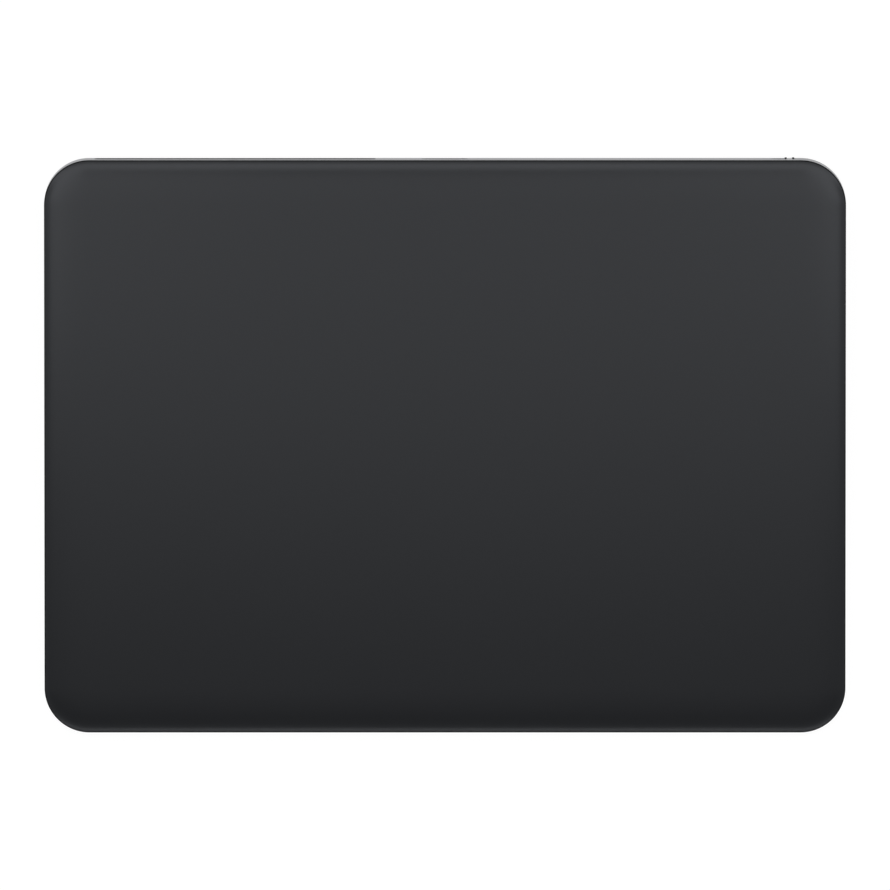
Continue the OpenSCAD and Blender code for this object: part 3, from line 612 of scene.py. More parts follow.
def printed_board():
    """Green solder mask over copper tracks, in patches that run along X or along Y."""
    finish = Finish("printed_board", IOR=1.5)
    mask = tone(0.012, 0.075, 0.038)
    across = finish.add("ShaderNodeSeparateXYZ", inputs={0: finish.spot})
    along = across.other("Y")
    patch = finish.cells(130.0, "Color")
    turned = finish.add("ShaderNodeSeparateColor", inputs={0: patch}) > 0.5
    pitch = 0.6 * MM
    track_w = 0.24 * MM
    position = turned * across + (1 - turned) * along
    track = abs(position % pitch) < track_w
    via = finish.cells(420.0) < 0.12
    covered = finish.mix(track, shade(mask, 0.8), shade(mask, 1.7))
    weave = finish.noise(2600.0, 2.0)
    finish.paint(
        Base_Color=finish.mix(via, covered, tone(0.62, 0.50, 0.26)),
        Roughness=0.3 + 0.12 * weave,
    )
    finish.relief(track + 0.4 * weave, 0.02 * MM, 0.5)
    return finish.material


def film_cable():
    """Amber film over fine copper tracks."""
    finish = Finish("film_cable", IOR=1.6)
    across = finish.add("ShaderNodeSeparateXYZ", inputs={0: finish.spot})
    pitch = 0.5 * MM
    track = abs(across % pitch) < 0.5 * pitch
    ripple = finish.noise(300.0, 2.0)
    finish.paint(
        Base_Color=finish.mix(track, tone(0.40, 0.17, 0.03), tone(0.58, 0.27, 0.07)),
        Roughness=0.25 + 0.15 * ripple,
    )
    finish.relief(track + ripple, 0.01 * MM, 0.4)
    return finish.material


def wound_copper():
    """Enamelled copper wire, wound in turns round the coil's middle."""
    finish = Finish("wound_copper", Metallic=0.9)
    low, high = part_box("haptic_coil")
    sockets = {0: finish.spot, 1: middle_of("haptic_coil")}
    centred = finish.add("ShaderNodeVectorMath", {"operation": "SUBTRACT"}, sockets)
    across = finish.add("ShaderNodeSeparateXYZ", inputs={0: centred})
    along = across.other("Y")
    long_side = (high.x - low.x) / 2 - (high.y - low.y) / 2
    over = across.math("MAXIMUM", abs(across) - long_side, 0.0)
    out = across.math("SQRT", over * over + along * along)
    wire = 0.18 * MM
    turn = abs((out % wire) - wire / 2) * (2 / wire)
    finish.paint(
        Base_Color=finish.mix(turn, tone(0.66, 0.27, 0.11), tone(0.30, 0.10, 0.04)),
        Roughness=0.25 + 0.2 * turn,
    )
    finish.relief(1 - turn, 0.05 * MM, 0.8)
    return finish.material


def foil_pouch():
    """Laminated foil of a battery, with soft creases."""
    finish = Finish("foil_pouch", Metallic=0.55)
    crease = finish.noise(90.0, 5.0)
    grain = finish.noise(2500.0, 2.0)
    finish.paint(
        Base_Color=finish.mix(crease, tone(0.055, 0.058, 0.066), tone(0.085, 0.088, 0.096)),
        Roughness=0.32 + 0.18 * grain,
    )
    finish.relief(crease + 0.15 * grain, 0.12 * MM, 0.5)
    return finish.material


def fibre_tape():
    """Pale mounting tape with paper fibres."""
    finish = Finish("fibre_tape")
    fibre = finish.noise(1500.0, 4.0, finish.stretched(1.0, 0.2, 1.0))
    finish.paint(
        Base_Color=finish.mix(fibre, tone(0.66, 0.64, 0.57), tone(0.82, 0.80, 0.74)),
        Roughness=0.6 + 0.2 * fibre,
    )
    finish.relief(fibre, 0.02 * MM, 0.4)
    return finish.material


finishes = {
    "black_glass": satin_glass(),
    "bonding_film": moulded_plastic("bonding_film", tone(0.012), 0.35, 2600.0),
    "circuit_board": printed_board(),
    "chip": moulded_plastic("chip_resin", tone(0.022, 0.023, 0.026), 0.5, 6000.0),
    "plate_steel": brushed_metal("plate_steel", tone(0.56, 0.57, 0.58), 0.3, X),
    "case_aluminium": blasted_aluminium(),
    "foam": open_foam(),
    "foot_rubber": soft_rubber(),
    "spring_steel": brushed_metal("spring_steel", tone(0.60, 0.60, 0.59), 0.22, X),
    "cable_film": film_cable(),
    "screw_steel": brushed_metal("screw_steel", tone(0.40, 0.41, 0.43), 0.3, Z),
    "window_plastic": moulded_plastic("window_plastic", tone(0.105, 0.107, 0.112), 0.55, gloss=0.05),
    "lead_sheath": moulded_plastic("lead_sheath", tone(0.03, 0.031, 0.033), 0.4, 2200.0),
    "port_steel": brushed_metal("port_steel", tone(0.58, 0.58, 0.60), 0.24, Y),
    "tongue_plastic": moulded_plastic("tongue_plastic", tone(0.012, 0.012, 0.013), 0.45),
    "contact_gold": gold_plate(),
    "switch_plastic": moulded_plastic("switch_plastic", tone(0.045, 0.046, 0.05), 0.5),
    "marker_green": moulded_plastic("marker_green", tone(0.045, 0.38, 0.09), 0.4),
    "knob_aluminium": blasted_aluminium("knob_aluminium", tone(0.74, 0.745, 0.76)),
    "shield_steel": brushed_metal("shield_steel", tone(0.66, 0.66, 0.65), 0.28, Y),
    "plug_plastic": moulded_plastic("plug_plastic", tone(0.62, 0.59, 0.50), 0.45),
    "cell_pouch": foil_pouch(),
    "mounting_tape": fibre_tape(),
    "haptic_steel": brushed_metal("haptic_steel", tone(0.46, 0.47, 0.49), 0.34, X),
    "coil_copper": wound_copper(),
    "mass_metal": brushed_metal("mass_metal", tone(0.28, 0.29, 0.31), 0.36, Y),
    "magnet_metal": brushed_metal("magnet_metal", tone(0.50, 0.50, 0.48), 0.18, X),
}

node_slots = {row["node"]: row["material_slot"] for row in frame["record"]["subparts"]}


# Pieces

def edge_tilt(inwards):
    """Slope of the glass at a distance from its outline: a short roll on a wide, shallow crown."""
    roll = ROLL_TILT * math.exp((RIM_W - inwards) / ROLL_FADE)
    crown = CROWN_TILT * max(0.0, 1 - inwards / CROWN_W)
    return roll + crown


def glass_edge():
    """Points up the edge of the glass, as distance inwards and rise: the arc of the rim, then the roll."""
    rim_steps = 6
    roll_steps = 30
    rim_tilt = edge_tilt(RIM_W)
    rim_r = RIM_W / (1 - math.sin(rim_tilt))
    points = []
    for i in range(1, rim_steps + 1):
        angle = (math.pi / 2 - rim_tilt) * i / rim_steps
        points.append((rim_r * (1 - math.cos(angle)), rim_r * math.sin(angle)))
    for i in range(1, roll_steps + 1):
        inwards = RIM_W + (CROWN_W - RIM_W) * (i / roll_steps) ** 2
        before, height = points[-1]
        height += (inwards - before) * math.tan(edge_tilt((inwards + before) / 2))
        points.append((inwards, height))
    return points


def make_glass_plate():
    """The top face is inset again and again while it climbs the edge's curve. The rim is ground matt and given a
    near-black finish, a painted shade along the rim.
    """
    edge = glass_edge()
    low = Vector((-PAD_W / 2, -GLASS_D / 2, -GLASS_T))
    high = Vector((PAD_W / 2, GLASS_D / 2, -edge[-1][1]))
    plate = rounded_block("glass_plate", low, high, CORNER_R, Z, CORNER_STEPS)
    plate.data.materials.append(finishes["black_glass"])
    plate.data.materials.append(ground_glass())
    with shaping(plate):
        pick("FACE", facing(UP))
        reached = (0.0, 0.0)
        for point in edge:
            bpy.ops.mesh.inset(thickness=point[0] - reached[0], depth=point[1] - reached[1])
            reached = point
        # The steepest faces of the rim get the near-black finish: painted shade along the rim
        pick("FACE", lambda face: abs(face.normal.z) < math.cos(GROUND_AND_SHADE_TILT))
        give_second_finish(plate)
    lay_on_slope(plate)
    dress(plate, "touch_plate", "touch_glass")


def screw_spots(node):
    """Middles, seen from above, of the screws in a CAD node."""
    groups = []
    for vertex in frame["nodes"][node].data.vertices:
        spot = vertex.co.xy
        near = next((group for group in groups if (group[0] - spot).length < BOSS_DIA), None)
        if near is None:
            groups.append([spot])
        else:
            near.append(spot)
    return [sum(group, Vector((0, 0))) / len(group) for group in groups]


def make_boss(spot, top_z, axis):
    """A round boss on the floor, cut square to its axis, with a screw hole."""
    spare_h = 1.0 * MM
    boss = disc("boss_tool", spot, BOSS_DIA / 2, FLOOR_TOP - BOSS_ROOT, top_z + spare_h, BOSS_SIDES)
    with shaping(boss):
        bpy.ops.mesh.select_all(action="SELECT")
        bpy.ops.mesh.bisect(plane_co=(*spot, top_z), plane_no=axis, use_fill=True, clear_outer=True)
        pick("FACE", facing(axis))
        bpy.ops.mesh.inset(thickness=(BOSS_DIA - BORE_DIA) / 2)
        push(-BORE_DEPTH * axis)
    return boss


def bosses():
    """Bosses under the boards, under the ears of the haptic unit and under the flexure beams."""
    level = (
        ("board_screws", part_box("logic_board")[0].z),
        ("port_screws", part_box("port_board")[0].z),
        ("haptic_screws", FLOOR_TOP + EAR_LIFT),
    )
    for node, top_z in level:
        for spot in screw_spots(node):
            yield make_boss(spot, top_z, UP)
    for spot in screw_spots("flexure_screws"):
        top_z = TOUCH_H + spot.y * math.tan(SLOPE) - FLEXURE_DEPTH / math.cos(SLOPE)
        yield make_boss(spot, top_z, slope_up)


def opening(node, margin):
    """Corners of an opening through the rear wall, a margin inside the box of a CAD node."""
    low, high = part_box(node)
    return (
        Vector((low.x + margin, REAR_Y - WALL, low.z + margin)),
        Vector((high.x - margin, REAR_Y, high.z - margin)),
    )


window_opening = opening("antenna_window", WINDOW_LIP)
port_opening = opening("port_shell", -PORT_PLAY)
switch_opening = opening("switch_plate", SLOT_MARGIN)


def grown(low, high, play):
    """Two corners with some play all round."""
    room = Vector((play, play, play))
    return low - room, high + room


def through(low, high):
    """The same corners, carried past both faces of the rear wall."""
    past = CUT_PAST * REARWARDS
    return low - past, high + past


def case_cuts():
    """Tools for the foot recesses and the rear openings."""
    for node in FEET:
        low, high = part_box(node)
        radius = (high.x - low.x) / 2 + FOOT_PLAY
        yield disc("recess_tool", middle_of(node), radius, low.z, high.z, FOOT_SIDES)
    yield rounded_block("window_tool", *through(*window_opening), WINDOW_R, Y, WINDOW_STEPS)
    yield pill_block("port_tool", *through(*port_opening), Y, PILL_STEPS)
    yield pill_block("slot_tool", *through(*switch_opening), Y, PILL_STEPS)


def within_an_opening(spot):
    """True for a spot on or inside the outline of a rear opening."""
    for corners in (window_opening, port_opening, switch_opening):
        low, high = grown(*corners, MOUTH_SOFTENING)
        if all(low[i] < spot[i] < high[i] for i in (X, Z)):
            return True
    return False


def at_a_rear_mouth(edge):
    """True for the edges where an opening meets the outer face of the rear wall."""
    middle = (edge.verts[0].co + edge.verts[1].co) / 2
    return lying_at(Y, REAR_Y)(edge) and within_an_opening(middle)


def in_a_rear_mouth(face):
    """True for the walls of the openings in the rear wall."""
    middle = face.calc_center_median()
    return REAR_Y - WALL < middle.y < REAR_Y - HAIR and within_an_opening(middle)


def round_the_bottom():
    """In edit mode, insets the selected underside in steps while it goes down a quarter circle."""
    for i in range(BOTTOM_STEPS):
        before = math.pi / 2 * i / BOTTOM_STEPS
        after = math.pi / 2 * (i + 1) / BOTTOM_STEPS
        bpy.ops.mesh.inset(
            thickness=BOTTOM_R * (math.cos(before) - math.cos(after)),
            depth=BOTTOM_R * (math.sin(after) - math.sin(before)),
        )


def hollow_from_the_rim():
    """In edit mode, cuts the case along its rim, then sinks the groove of the seal and the inside."""
    rim_point = Vector((0, 0, TOUCH_H - RIM_DEPTH / math.cos(SLOPE)))
    bpy.ops.mesh.select_all(action="SELECT")
    bpy.ops.mesh.bisect(plane_co=rim_point, plane_no=slope_up, use_fill=True, clear_outer=True)
    pick("FACE", facing(slope_up, EXACTLY))
    bpy.ops.mesh.region_to_loop()
    bpy.ops.mesh.bevel(offset=EDGE_SOFTENING, segments=2, affect="EDGES")
    pick("FACE", facing(slope_up, EXACTLY))
    bpy.ops.mesh.inset(thickness=WALL - SEAL_W - SEAL_PLAY - EDGE_SOFTENING)
    push(-SEAL_T * slope_up)
    bpy.ops.mesh.inset(thickness=SEAL_W + SEAL_PLAY)
    push(-MM * UP)
    level_at(FLOOR_TOP)


def make_case_shell():
    """A rounded wedge, hollowed down to its floor, with foot recesses, rear openings and bosses."""
    low = Vector((case_low.x, case_low.y, UNDERSIDE + BOTTOM_R))
    high = Vector((case_high.x, case_high.y, cad_high.z))
    shell = rounded_block("case_shell", low, high, CORNER_R, Z, CORNER_STEPS)
    with shaping(shell):
        pick("FACE", facing(-UP))
        round_the_bottom()
        hollow_from_the_rim()
    for tool in case_cuts():
        combine(shell, tool, "DIFFERENCE")
    for boss in bosses():
        combine(shell, boss, "UNION")
    shell.data.materials.append(finishes["case_aluminium"])
    # The walls of the rear openings get a darker copy of the case aluminium: painted shade inside the mouths
    shell.data.materials.append(blasted_aluminium("milled_aluminium", tone(0.34, 0.344, 0.355)))
    with shaping(shell):
        soften(at_a_rear_mouth, MOUTH_SOFTENING)
        # Painted shade: the faces inside the rear mouths take the darker aluminium
        pick("FACE", in_a_rear_mouth)
        give_second_finish(shell)
    dress(shell, "case", "lower_case")


def make_window_plug():
    """A plug that fills the window, flush with the wall, on a wider flange behind it."""
    face_softening = 0.06 * MM
    flange_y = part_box("antenna_window")[0].y
    low, high = grown(*window_opening, -WINDOW_PLAY)
    low.y = REAR_Y - WALL
    high.y = REAR_Y
    plug = rounded_block("window_plug", low, high, WINDOW_R - WINDOW_PLAY, Y, WINDOW_STEPS)
    with shaping(plug):
        soften(lying_at(Y, high.y), face_softening)
        pick("FACE", facing(-REARWARDS))
        bpy.ops.mesh.inset(thickness=WINDOW_LIP + WINDOW_PLAY, use_outset=True)
        pick("FACE", facing(-REARWARDS))
        push((flange_y - low.y) * REARWARDS)
    dress(plug, "case", "antenna_window")


def make_port_sleeve():
    """A drawn steel sleeve, closed at the back, with a rolled lip."""
    lip_r = 0.1 * MM
    low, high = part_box("port_shell")
    sleeve = pill_block("port_sleeve", low, high, Y, PILL_STEPS)
    with shaping(sleeve):
        pick("FACE", facing(REARWARDS))
        bpy.ops.mesh.inset(thickness=PORT_SHEET)
        push((low.y + PORT_BACK - high.y) * REARWARDS)
        soften(lying_at(Y, high.y), lip_r, 3)
    dress(sleeve, "case", "port_shell")


def make_port_blade():
    """The blade in the port that carries its contacts."""
    tip_r = 0.2 * MM
    side_r = 0.08 * MM
    low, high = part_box("port_tongue")
    blade = block("port_blade", low, high)
    with shaping(blade):
        soften(both(running(X), lying_at(Y, high.y)), tip_r, 3)
        soften(running(Y), side_r)
    dress(blade, "case", "port_tongue")


def make_port_fingers():
    """One contact finger, repeated along the blade and on its other face."""
    in_a_row = 12
    faces = 2
    width = 0.28 * MM
    thick = 0.05 * MM
    edge_r = 0.015 * MM
    low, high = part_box("port_contacts")
    fingers = block("port_fingers", low, Vector((low.x + width, high.y, low.z + thick)))
    with shaping(fingers):
        soften(running(Y), edge_r)
    repeats = (
        (in_a_row, Vector(((high.x - low.x - width) / (in_a_row - 1), 0, 0))),
        (faces, Vector((0, 0, high.z - low.z - thick))),
    )
    for number, step in repeats:
        row = fingers.modifiers.new("row", "ARRAY")
        row.count = number
        row.use_relative_offset = False
        row.use_constant_offset = True
        row.constant_offset_displace = step
        bpy.ops.object.modifier_apply(modifier=row.name)
    dress(fingers, "case", "port_contacts")


def add_stem(knob, tip, root):
    """A stem from a tip inside the case to a root on the back of the knob."""
    half = Vector((0.45 * MM, 0, 0.4 * MM))
    sunk = 0.2 * MM * REARWARDS
    corner_r = 0.1 * MM
    stem = rounded_block("stem_tool", tip - half, root + sunk + half, corner_r, Y, 3)
    combine(knob, stem, "UNION")


def add_rib(knob, root, top):
    """A grip rib from a root on the face of the knob to its top."""
    half = Vector((0.21 * MM, 0, 0.72 * MM))
    sunk = 0.1 * MM * REARWARDS
    corner_r = 0.15 * MM
    top_softening = 0.03 * MM
    rib = rounded_block("rib_tool", root - sunk - half, top + half, corner_r, Y, 4)
    with shaping(rib):
        soften(lying_at(Y, top.y), top_softening)
    combine(knob, rib, "UNION")


def make_slide_knob():
    """A small round-ended slider with two grip ribs, on a stem through the slot."""
    low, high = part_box("power_knob")
    middle = middle_of("power_knob")
    knob_h = 2.0 * MM
    knob_steps = 12
    face_r = 0.15 * MM
    rib_out = 0.24 * MM
    rib_reach = 0.75 * MM
    back_play = 0.27 * MM
    face_y = high.y - rib_out
    back_y = REAR_Y - WALL + back_play
    knob_low = Vector((low.x, back_y, middle.z - knob_h / 2))
    knob_high = Vector((high.x, face_y, middle.z + knob_h / 2))
    knob = pill_block("slide_knob", knob_low, knob_high, Y, knob_steps)
    with shaping(knob):
        soften(lying_at(Y, face_y), face_r, 3)
    add_stem(knob, Vector((middle.x, low.y, middle.z)), Vector((middle.x, back_y, middle.z)))
    for side in (-1, 1):
        rib_x = middle.x + side * rib_reach
        add_rib(knob, Vector((rib_x, face_y, middle.z)), Vector((rib_x, high.y, middle.z)))
    knob.data.materials.append(finishes["knob_aluminium"])
    # The faces of the ribs that stand out from the knob are near black and matt: painted shade at the ribs
    knob.data.materials.append(moulded_plastic("grip_ink", tone(0.008), 0.8, gloss=0.0))
    with shaping(knob):
        pick("FACE", lambda face: face.calc_center_median().y > face_y + HAIR)
        give_second_finish(knob)
    dress(knob, "power_slider", "power_knob")


def make_feet():
    """One rubber foot with a rounded edge and a shallow dish, copied to the other corners."""
    edge_r = 0.25 * MM
    dish_inset = 0.6 * MM
    dish_slope_w = 0.3 * MM
    dish_depth = 0.06 * MM
    low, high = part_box(FEET[0])
    first = middle_of(FEET[0])
    foot = disc("rubber_" + FEET[0], first, (high.x - low.x) / 2, low.z, high.z, FOOT_SIDES)
    with shaping(foot):
        soften(lying_at(Z, low.z), edge_r, 4)
        pick("FACE", facing(-UP))
        bpy.ops.mesh.inset(thickness=dish_inset)
        bpy.ops.mesh.inset(thickness=dish_slope_w, depth=-dish_depth)
    pieces = [foot]
    for node in FEET[1:]:
        twin = copied(foot, "rubber_" + node)
        twin.location = middle_of(node) - first
        place(twin)
        pieces.append(twin)
    for piece, node in zip(pieces, FEET):
        dress(piece, "case", node)


def make_seal_cord():
    """A foam cord with a soft top, round the inside of the case rim."""
    inner_r = CORNER_R - WALL
    low = Vector((WALL - PAD_W / 2, WALL - GLASS_D / 2, -RIM_DEPTH - SEAL_T))
    high = Vector((PAD_W / 2 - WALL, GLASS_D / 2 - WALL, -RIM_DEPTH))
    wide = Vector((SEAL_W, SEAL_W, 0))
    past = MM * UP
    cord = rounded_block("seal_cord", low - wide, high + wide, inner_r + SEAL_W, Z, CORNER_STEPS)
    hollow = rounded_block("hollow_tool", low - past, high + past, inner_r, Z, CORNER_STEPS)
    combine(cord, hollow, "DIFFERENCE")
    with shaping(cord):
        soften(lying_at(Z, high.z), SEAL_R, 3)
    lay_on_slope(cord)
    dress(cord, "case", "dust_seal")


def at_each_beam(model):
    """Copies of a model for the four beams, named for their corners, each with its end and side."""
    for end_name, end in (("front", -1), ("rear", 1)):
        for side_name, side in (("left", -1), ("right", 1)):
            yield copied(model, f"{end_name}_{side_name}_{model.name}"), end, side
    bpy.data.objects.remove(model)


def beam_bend(side):
    """The touch plate and the two ends of a beam's waist."""
    start = Vector((side * (WAIST_X + WAIST_L / 2), 0, 0))
    end = Vector((side * (WAIST_X - WAIST_L / 2), 0, 0))
    return "touch_plate", start, end


def make_beams():
    """One steel beam with a narrow waist and a screw hole, copied to the four corners."""
    corner_r = 0.4 * MM
    hole_play = 0.05 * MM
    hole_r = BORE_DIA / 2 + hole_play
    hole_sides = 32
    narrow = WAIST_W / BEAM_W
    low = Vector((beam_low.x, -BEAM_W / 2, -FLEXURE_DEPTH))
    high = Vector((beam_high.x, BEAM_W / 2, BEAM_T - FLEXURE_DEPTH))
    beam = block("beam", low, high)
    with shaping(beam):
        pick("EDGE", running(X))
        bpy.ops.mesh.subdivide(number_cuts=BEAM_SECTIONS - 1)
        for i in range(1, BEAM_SECTIONS):
            x = low.x + (high.x - low.x) * i / BEAM_SECTIONS
            width = narrow + (1 - narrow) * ease((abs(x - WAIST_X) - WAIST_L / 2) / WAIST_FADE)
            pick("EDGE", lying_at(X, x))
            bpy.ops.transform.resize(value=(1, width, 1), center_override=(x, 0, 0))
        pick("EDGE", both(running(Z), lying_at(X, low.x, high.x)))
        bpy.ops.mesh.bevel(offset=corner_r, segments=4, affect="EDGES")
        soften(lying_at(Z, low.z, high.z), SHEET_SOFTENING)
    hole = (high.x - CLAMP_INSET, 0)
    combine(beam, disc("hole_tool", hole, hole_r, low.z - MM, high.z + MM, hole_sides), "DIFFERENCE")
    for piece, end, side in at_each_beam(beam):
        piece.rotation_euler.z = 0 if side > 0 else math.pi
        piece.location.y = end * BEAM_V
        place(piece)
        lay_on_slope(piece)
        dress(piece, "case", piece.name.replace("beam", "flexure"), beam_bend(side))


def make_gauges():
    """One foil gauge with a tail round the edge of the beam, copied to the four waists."""
    node = "strain_gauges"
    tail_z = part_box(node)[0].z + TAIL_LIFT
    tail_y = WAIST_W / 2 + CABLE_PLAY
    beam_top = BEAM_T - FLEXURE_DEPTH
    low = Vector((-GAUGE_L / 2, -GAUGE_D / 2, beam_top))
    high = Vector((GAUGE_L / 2, GAUGE_D / 2, beam_top + GAUGE_T))
    gauge = block("gauge", low, high)
    with shaping(gauge):
        for x in (-TAIL_W / 2, TAIL_W / 2):
            bpy.ops.mesh.select_all(action="SELECT")
            bpy.ops.mesh.bisect(plane_co=(x, 0, 0), plane_no=(1, 0, 0))
        in_the_middle = both(facing(REARWARDS), lambda face: abs(face.calc_center_median().x) < TAIL_W / 2)
        pick("FACE", in_the_middle)
        push((tail_y - GAUGE_D / 2) * REARWARDS)
        push(GAUGE_T * REARWARDS)
        pick("FACE", both(facing(-UP), lambda face: face.calc_center_median().y > tail_y))
        push(-MM * UP)
    for piece, end, side in at_each_beam(gauge):
        piece.rotation_euler.z = 0 if end < 0 else math.pi
        piece.location = (side * WAIST_X, end * BEAM_V, 0)
        place(piece)
        lay_on_slope(piece)
        lowest = min(vertex.co.z for vertex in piece.data.vertices)
        with shaping(piece):
            pick("FACE", lambda face: face.calc_center_median().z < lowest + GAUGE_T)
            level_at(tail_z)
        dress(piece, "case", node, beam_bend(side))


def make_sensor_cable():
    """A flat cable that climbs in a soft bend from its plug to the underside of the sensor board."""
    low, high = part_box("sensor_flex")
    climb_y = low.y + CABLE_LEVEL
    steps = 14

    def under_the_board(y):
        return TOUCH_H + y * math.tan(SLOPE) - CABLE_DEPTH / math.cos(SLOPE) - CABLE_PLAY - CABLE_T

    cable = block("sensor_cable", low, Vector((high.x, climb_y, low.z + CABLE_T)))
    with shaping(cable):
        pick("FACE", facing(REARWARDS))
        reached = Vector((0, climb_y, low.z))
        for i in range(1, steps + 1):
            y = climb_y + CABLE_CLIMB * i / steps
            point = Vector((0, y, low.z + (under_the_board(y) - low.z) * ease(i / steps)))
            push(point - reached)
            reached = point
        push(Vector((0, high.y, under_the_board(high.y))) - reached)
        soften(lying_at(X, low.x, high.x), FILM_SOFTENING)
    start = Vector((0, climb_y, 0))
    end = Vector((0, climb_y + CABLE_CLIMB, 0))
    dress(cable, "case", "sensor_flex", ("touch_plate", start, end))


def make_leaf_springs():
    """One folded leaf from the housing to the haptic mass, turned about for the other end."""
    low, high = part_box("right_haptic_spring")
    centre = Vector((0, (low.y + high.y) / 2, 0))
    root = Vector((high.x - LEAF_T / 2, high.y - LEAF_FOOT, 0))
    run = Vector((low.x - high.x + LEAF_T, low.y - high.y + 2 * LEAF_FOOT, 0))
    steps = 24
    leaf = block("right_leaf", Vector((high.x - LEAF_T, root.y, low.z)), high)
    with shaping(leaf):
        pick("FACE", facing(-REARWARDS))
        reached = Vector((0, 0, 0))
        thick = LEAF_T
        for i in range(1, steps + 1):
            share = i / steps
            point = Vector((run.x * ease(share), run.y * share, 0))
            push(point - reached)
            lean = run.x / run.y * ease_rate(share)
            wanted = LEAF_T * math.hypot(1, lean)
            bpy.ops.transform.resize(value=(wanted / thick, 1, 1), center_override=root + point)
            reached = point
            thick = wanted
        push(-LEAF_FOOT * REARWARDS)
        soften(lying_at(Z, low.z, high.z), SHEET_SOFTENING)
    twin = copied(leaf, "left_leaf")
    twin.rotation_euler.z = math.pi
    twin.location = 2 * centre
    place(twin)
    for piece, side in ((leaf, 1), (twin, -1)):
        start = centre + side * (root - centre)
        end = centre + side * (root + run - centre)
        node = piece.name.replace("leaf", "haptic_spring")
        dress(piece, "case", node, ("haptic_weight", start, end))


def make_battery_pouch():
    """A soft foil pouch: flat below, where it is taped down, and round above, with a raised face."""
    low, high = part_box("battery_cell")
    corner_r = 2.0 * MM
    top_r = 1.0 * MM
    bottom_r = 0.5 * MM
    face_inset = 0.2 * MM
    face_slope_w = 0.4 * MM
    face_out = 0.06 * MM
    pouch = rounded_block("battery_pouch", low, high - face_out * UP, corner_r, Z, 8)
    with shaping(pouch):
        soften(lying_at(Z, high.z - face_out), top_r, 6)
        soften(lying_at(Z, low.z), bottom_r, 4)
        pick("FACE", facing(UP, EXACTLY))
        bpy.ops.mesh.inset(thickness=face_inset)
        bpy.ops.mesh.inset(thickness=face_slope_w, depth=face_out)
    dress(pouch, "case", "battery_cell")


def finish_cad_nodes():
    """Better finishes for the CAD nodes that stay in view."""
    for name, node in frame["nodes"].items():
        node.data.materials.clear()
        node.data.materials.append(finishes[node_slots[name]])


# Stage

def add_camera():
    """A long lens from nearly straight above, leaning a little to the rear."""
    lean = math.radians(3.85)
    framed_w = 177.77 * MM
    target = Vector((0, 0.09 * MM, 3.1 * MM))
    data = bpy.data.cameras.new("camera")
    data.sensor_width = 36
    data.lens = 1600
    camera = bpy.data.objects.new("camera", data)
    distance = framed_w * data.lens / data.sensor_width
    camera.location = target + distance * Vector((0, math.sin(lean), math.cos(lean)))
    camera.rotation_euler = (-lean, 0, 0)
    data.clip_end = 2 * distance
    bpy.context.scene.collection.objects.link(camera)
    bpy.context.scene.camera = camera


def add_ceiling_panel(name, sides, angles, radiance):
    """An even, rectangular lamp in the ceiling, between two places along X and two angles rearwards
    from straight up."""
    left, right = sides
    near, far = (CEILING * math.tan(math.radians(angle)) for angle in angles)
    data = bpy.data.lights.new(name, "AREA")
    data.shape = "RECTANGLE"
    data.size = right - left
    data.size_y = far - near
    data.energy = radiance * math.pi * data.size * data.size_y
    lamp = bpy.data.objects.new(name, data)
    lamp.location = ((left + right) / 2, (near + far) / 2, CEILING)
    lamp.visible_camera = False
    bpy.context.scene.collection.objects.link(lamp)


def add_lights():
    """Soft panels over the rear half, brighter at the sides and fainter beyond them, and a strip in
    front that draws the front edge."""
    core = 0.08
    middle = 0.092
    wing = 0.30
    fill = 0.9
    wide = (-0.5, 0.5)
    add_ceiling_panel("top_panel", (-middle, middle), (-11.7, 6.35), 0.875)
    add_ceiling_panel("top_core", (-core, core), (-4.1, 4.9), 0.44)
    for side, name in ((-1, "left"), (1, "right")):
        add_ceiling_panel(name + "_wing", sorted((side * middle, side * wing)), (-7.8, 12.7), 1.52)
        add_ceiling_panel(name + "_fill", sorted((side * wing, side * fill)), (-7.6, 4.0), 0.68)
    add_ceiling_panel("rear_panel", wide, (12.7, 29.1), 1.46)
    add_ceiling_panel("rear_fill", wide, (31.0, 54.0), 0.43)
    add_ceiling_panel("front_strip", wide, (-50.5, -45.0), 1.7)


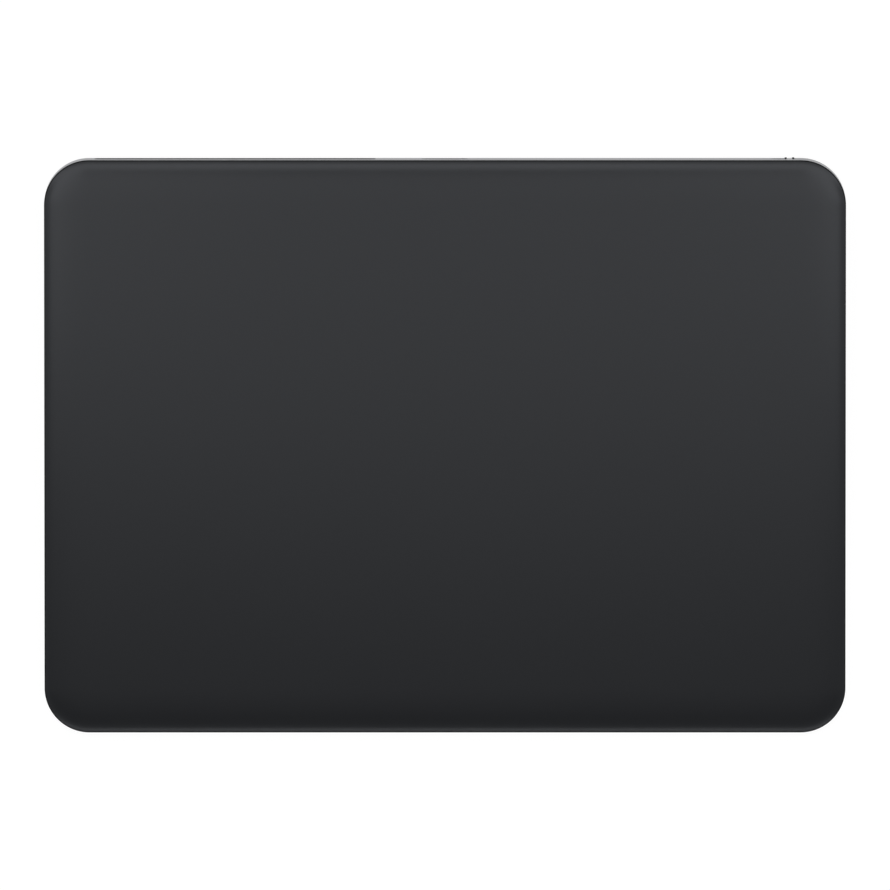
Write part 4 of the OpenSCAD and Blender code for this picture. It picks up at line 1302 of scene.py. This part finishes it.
def add_floor():
    """A pale floor that shows white to the camera and in reflections, and still takes the shadow."""
    bpy.ops.object.select_all(action="DESELECT")
    bpy.ops.mesh.primitive_plane_add(size=FLOOR_SIZE)
    floor = bpy.context.active_object
    floor.name = "floor"
    paper = Finish("pale_floor", Roughness=1.0, Specular_IOR_Level=0.0)
    paper.paint(Base_Color=paper.mix(paper.noise(300.0), tone(0.80), tone(0.82)))
    camera_ray = paper.add("ShaderNodeLightPath", output="Is Camera Ray")
    seen = camera_ray
    for ray in ("Is Glossy Ray", "Is Transmission Ray"):
        seen = seen.math("MAXIMUM", seen, camera_ray.other(ray))
    glow = paper.add("ShaderNodeEmission", inputs={"Color": tone(1.0), "Strength": 0.91})
    soft = paper.add("ShaderNodeBsdfDiffuse", inputs={"Color": tone(0.16)})
    white = paper.add("ShaderNodeAddShader", inputs={0: glow, 1: soft})
    plain = Signal(paper, paper.shader.outputs[0])
    shown = paper.add("ShaderNodeMixShader", inputs={0: seen, 1: plain, 2: white})
    paper.feed(paper.nodes["Material Output"].inputs["Surface"], shown)
    floor.data.materials.append(paper.material)


def add_world():
    """A dim studio that grows white towards the horizon, and shows white to the camera."""
    world = bpy.data.worlds.new("studio")
    world.use_nodes = True
    sky = Nodes(world.node_tree)
    direction = sky.add("ShaderNodeTexCoord", output="Generated")
    height = sky.add("ShaderNodeSeparateXYZ", inputs={0: direction}, output="Z")
    stops = [(0.0, tone(1.0)), (0.08, tone(1.0)), (0.3, tone(0.42)), (0.8, tone(0.35)), (0.9, tone(0.2))]
    glow = sky.add("ShaderNodeValToRGB", {"stops": stops}, {0: height})
    seen = sky.add("ShaderNodeLightPath", output="Is Camera Ray")
    colour = sky.mix(seen, glow, tone(1.0))
    sky.feed(sky.nodes["Background"].inputs["Color"], colour)
    bpy.context.scene.world = world


make_glass_plate()
make_case_shell()
make_window_plug()
make_port_sleeve()
make_port_blade()
make_port_fingers()
make_slide_knob()
make_feet()
make_seal_cord()
make_beams()
make_gauges()
make_sensor_cable()
make_leaf_springs()
make_battery_pouch()
finish_cad_nodes()
add_camera()
add_lights()
add_floor()
add_world()
bpy.context.scene.view_settings.view_transform = "Standard"
